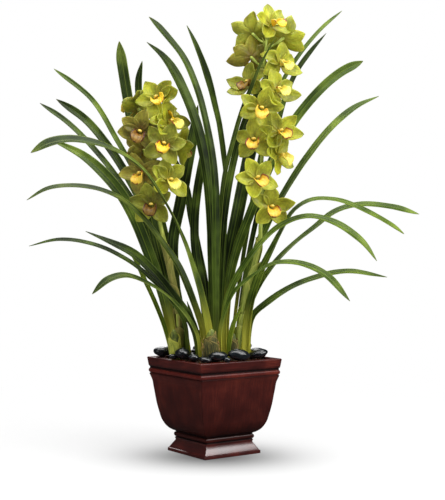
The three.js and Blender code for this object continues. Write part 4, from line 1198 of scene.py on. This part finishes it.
def makeSpike(side, spike, petals, lips, column):
    chance = random.Random(len(spike["flowers"]))
    node = f"{side}_flower_spike"
    foot, top = spikeStyle["mainRadius"]
    thin, thick = spikeStyle["stalkRadius"]
    route = routeThrough(spike["rachis"], spikeStyle["steps"])
    girths = [foot + (top - foot) * i / spikeStyle["steps"] for i in range(len(route))]
    (across, long), (back, slow) = spikeStyle["sway"]
    sway = [p + Vector((across * math.sin(p.z / long), back * math.cos(p.z / slow), 0)) for p in route]
    paths, columns, shells = [sway], [], []

    def addBract(spine, style, facing):
        radius, more = style["radius"]
        shells.append(sheathShape(spine, lambda u: radius + more * u, facing, style["spread"],
                                  style["ragged"], chance))

    for i, (spot, (yaw, pitch, roll), curls, leans, petal, lipName) in enumerate(spike["flowers"]):
        turn = Euler((math.radians(roll), -math.radians(pitch), math.radians(yaw - 90)), "XYZ")
        stand = Matrix.Translation(spot) @ turn.to_matrix().to_4x4()
        place = plantToPart @ stand
        blades = joined([tepalShape(angle, lean, share, curl, cup, chance)
                         for (angle, share, cup), curl, lean in zip(tepalRing["blades"], curls, leans)])
        for part, shape, skin, style in (("tepal", blades, petals[petal], tepalRing),
                                         ("lip", lipShape(chance), lips[lipName], lipStyle)):
            name = f"{side}_flower_{i + 1}_{part}" + ("s" if part == "tepal" else "")
            piece = thicken(meshObject(name, moved(shape, place), skin), style["thickness"])
            finishPiece(piece, f"flower_{part}", node)
        columns.append(moved(columnShape(), place))
        root = sway[nearHeight(sway, spot[2] - spikeStyle["drop"])]
        behind = stand @ Vector((spikeStyle["back"], 0, 0))
        elbow = root.lerp(behind, 0.5)
        elbow.z = spot[2] - spikeStyle["elbow"] * spikeStyle["drop"]
        joint = stand @ Vector((spikeStyle["joint"], 0, 0))
        paths.append(routeThrough([root, elbow, behind, joint], spikeStyle["stalkSteps"]))
        girths += [thin + (thick - thin) * smooth(*spikeStyle["swell"], k / spikeStyle["stalkSteps"])
                   for k in range(spikeStyle["stalkSteps"] + 1)]
        lead = math.degrees(math.atan2(elbow.y - root.y, elbow.x - root.x))
        start = max(0, nearHeight(route, root.z) - 2)
        addBract(route[start:start + 6], spikeStyle["flowerBract"], lead)
    stalks = growTubes(f"{side}_spike_stalks", paths, girths, 12, fleshyStalk(*spike["stalk"]))
    finishPiece(stalks, "flower_stalk", node)
    finishPiece(turnOut(meshObject(f"{side}_spike_columns", joined(columns), column)), "flower_column", node)
    clasp = spikeStyle["bracts"]
    for i in range(clasp["count"]):
        height = clasp["from"] + clasp["apart"] * i
        start, end = nearHeight(route, height), nearHeight(route, height + clasp["length"])
        addBract(route[start:end + 1:4], clasp, clasp["turn"] * i - 90)
    sheaths = moved(joined(shells), plantToPart)
    bracts = meshObject(f"{side}_spike_bracts", sheaths, drySheath(*spike["bract"]))
    finishPiece(thicken(bracts, clasp["thickness"]), "bulb_skin", node)


petalColors = {  # shadow, middle, bright, margin (a painted glow) and heart (blush and painted shade); olive and bronze are shaded copies
    "lime": ("#6a6e12", "#93971b", "#b9bc2f", "#c0c44a", "#8a8420"),
    "olive": ("#5a5f15", "#82861f", "#a4a732", "#adb144", "#706a1e"),
    "shadedBronze": ("#534e18", "#7f7923", "#a29d31", "#aaa840", "#6d5521"),
}
lipColors = {  # body, throat and rim, then how much of the rim is dark; russet is a copy darkened as painted shade
    "yellow": ("#dfba24", "#dba822", "#6e1a0e", 0.03), "orange": ("#d8b63a", "#cb992a", "#74200e", 0.08),
    "cream": ("#d9cf5c", "#d0b83a", "#8a4a1c", -0.04), "shadedRusset": ("#8a6a24", "#5e3716", "#43130b", 0.12),
}


def makeFlowers():
    petals = {name: waxyPetal(f"cymbidium petal, waxy {name}", *colors)
              for name, colors in petalColors.items()}
    lips = {name: spottedLip(f"cymbidium lip, waxy {name}", *colors) for name, colors in lipColors.items()}
    column = waxyColumn()
    for side, spike in spikes.items():
        makeSpike(side, spike, petals, lips, column)


makeFlowers()
print("flower spikes built")


# Studio: a white sweep under an overhead softbox, with a large soft light high on the right and weak
# ones on the left and behind. Dark cards round the set keep the lacquer and the leaves deep in tone.
studio = {
    "lights": [  # name, place and aim in mm in the plant's frame, size in m, watts
        ("key", (1500, -900, 1700), (0, 0, 400), 1.7, 50),
        ("fill", (-1800, -1500, 700), (0, 0, 450), 1.4, 6),
        ("top", (-100, -200, 2300), (0, 0, 300), 2.2, 72),
        ("back", (-600, 1700, 1400), (0, 0, 500), 1.2, 12)],
    "ambient": 0.4, "cards": 0.04, "floorSize": 40, "nearFloor": 0.3, "farFloor": 1.2, "paper": 0.6,
    "paperInGloss": 0.04, "washed": 0.55,
    "shade": {"middle": (0, -60, 0), "reach": (0.154, 0.121, 1), "depth": 0.78},  # under the planter
}


def makeLights():
    for name, place, aim, size, watts in studio["lights"]:
        light = bpy.data.lights.new(name, "AREA")
        light.size = size
        light.energy = watts
        piece = placed(name, light)
        spot, goal = plantToPart @ Vector(place), plantToPart @ Vector(aim)
        piece.location = spot
        piece.rotation_euler = (goal - spot).to_track_quat("-Z", "Y").to_euler()
    world = bpy.data.worlds.new("studio")
    world.use_nodes = True
    world.cycles.sampling_method = "NONE"  # keeps the dark cards out of the light and in the reflections
    bpy.context.scene.world = world
    world.node_tree.nodes.clear()
    node = partial(addNode, world.node_tree)
    ray = node("LightPath").outputs
    seen = node("Mix", Factor=ray["Is Camera Ray"], A=studio["ambient"], B=1.0)
    strength = node("Mix", Factor=ray["Is Glossy Ray"], A=seen, B=studio["cards"])
    node("OutputWorld", Surface=node("Background", Color="#ffffff", Strength=strength))


# White studio paper: washed out to white, with a soft oval shade under the planter and, close to it,
# the true shadows.
def whitePaper():
    material = bpy.data.materials.new("white studio paper")
    material.use_nodes = True
    material.node_tree.nodes.clear()
    node = partial(addNode, material.node_tree)
    spot = node("TexCoord").outputs["Object"]
    shade = studio["shade"]
    oval = node("Mapping", Vector=spot, Location=plantToPart @ Vector(shade["middle"]), Scale=shade["reach"],
                Rotation=(0, 0, plantTurn), vector_type="TEXTURE")
    off = node("VectorMath.LENGTH", oval).outputs["Value"]
    squared = node("Math.POWER", off, 2.0)
    fall = node("Math.POWER", 1 / math.e, squared)
    level = node("Math.MULTIPLY_ADD", fall, -shade["depth"], 1.0)
    reach = node("VectorMath.LENGTH", spot).outputs["Value"]
    share = node("MapRange", Value=reach, From_Min=studio["nearFloor"], From_Max=studio["farFloor"],
                 To_Min=studio["washed"], interpolation_type="SMOOTHSTEP")
    matt = node("BsdfDiffuse", Color=node("Math.MULTIPLY", level, studio["paper"]))
    washed = node("Emission", Color="#ffffff", Strength=level)
    paper = node("MixShader", share, matt, washed)
    card = node("BsdfDiffuse", Color=(studio["paperInGloss"],) * 3 + (1,))
    glossy = node("LightPath").outputs["Is Glossy Ray"]
    node("OutputMaterial", Surface=node("MixShader", glossy, paper, card))
    return material


def makeFloor():
    half = studio["floorSize"] / 2
    sides = [(0, 0), (1, 0), (1, 1), (0, 1)]
    corners = [Vector((2 * half * x - half, 2 * half * y - half, 0)) for x, y in sides]
    meshObject("studio_floor", (corners, [[0, 1, 2, 3]], [sides]), whitePaper())


makeLights()
makeFloor()
print("studio lit")
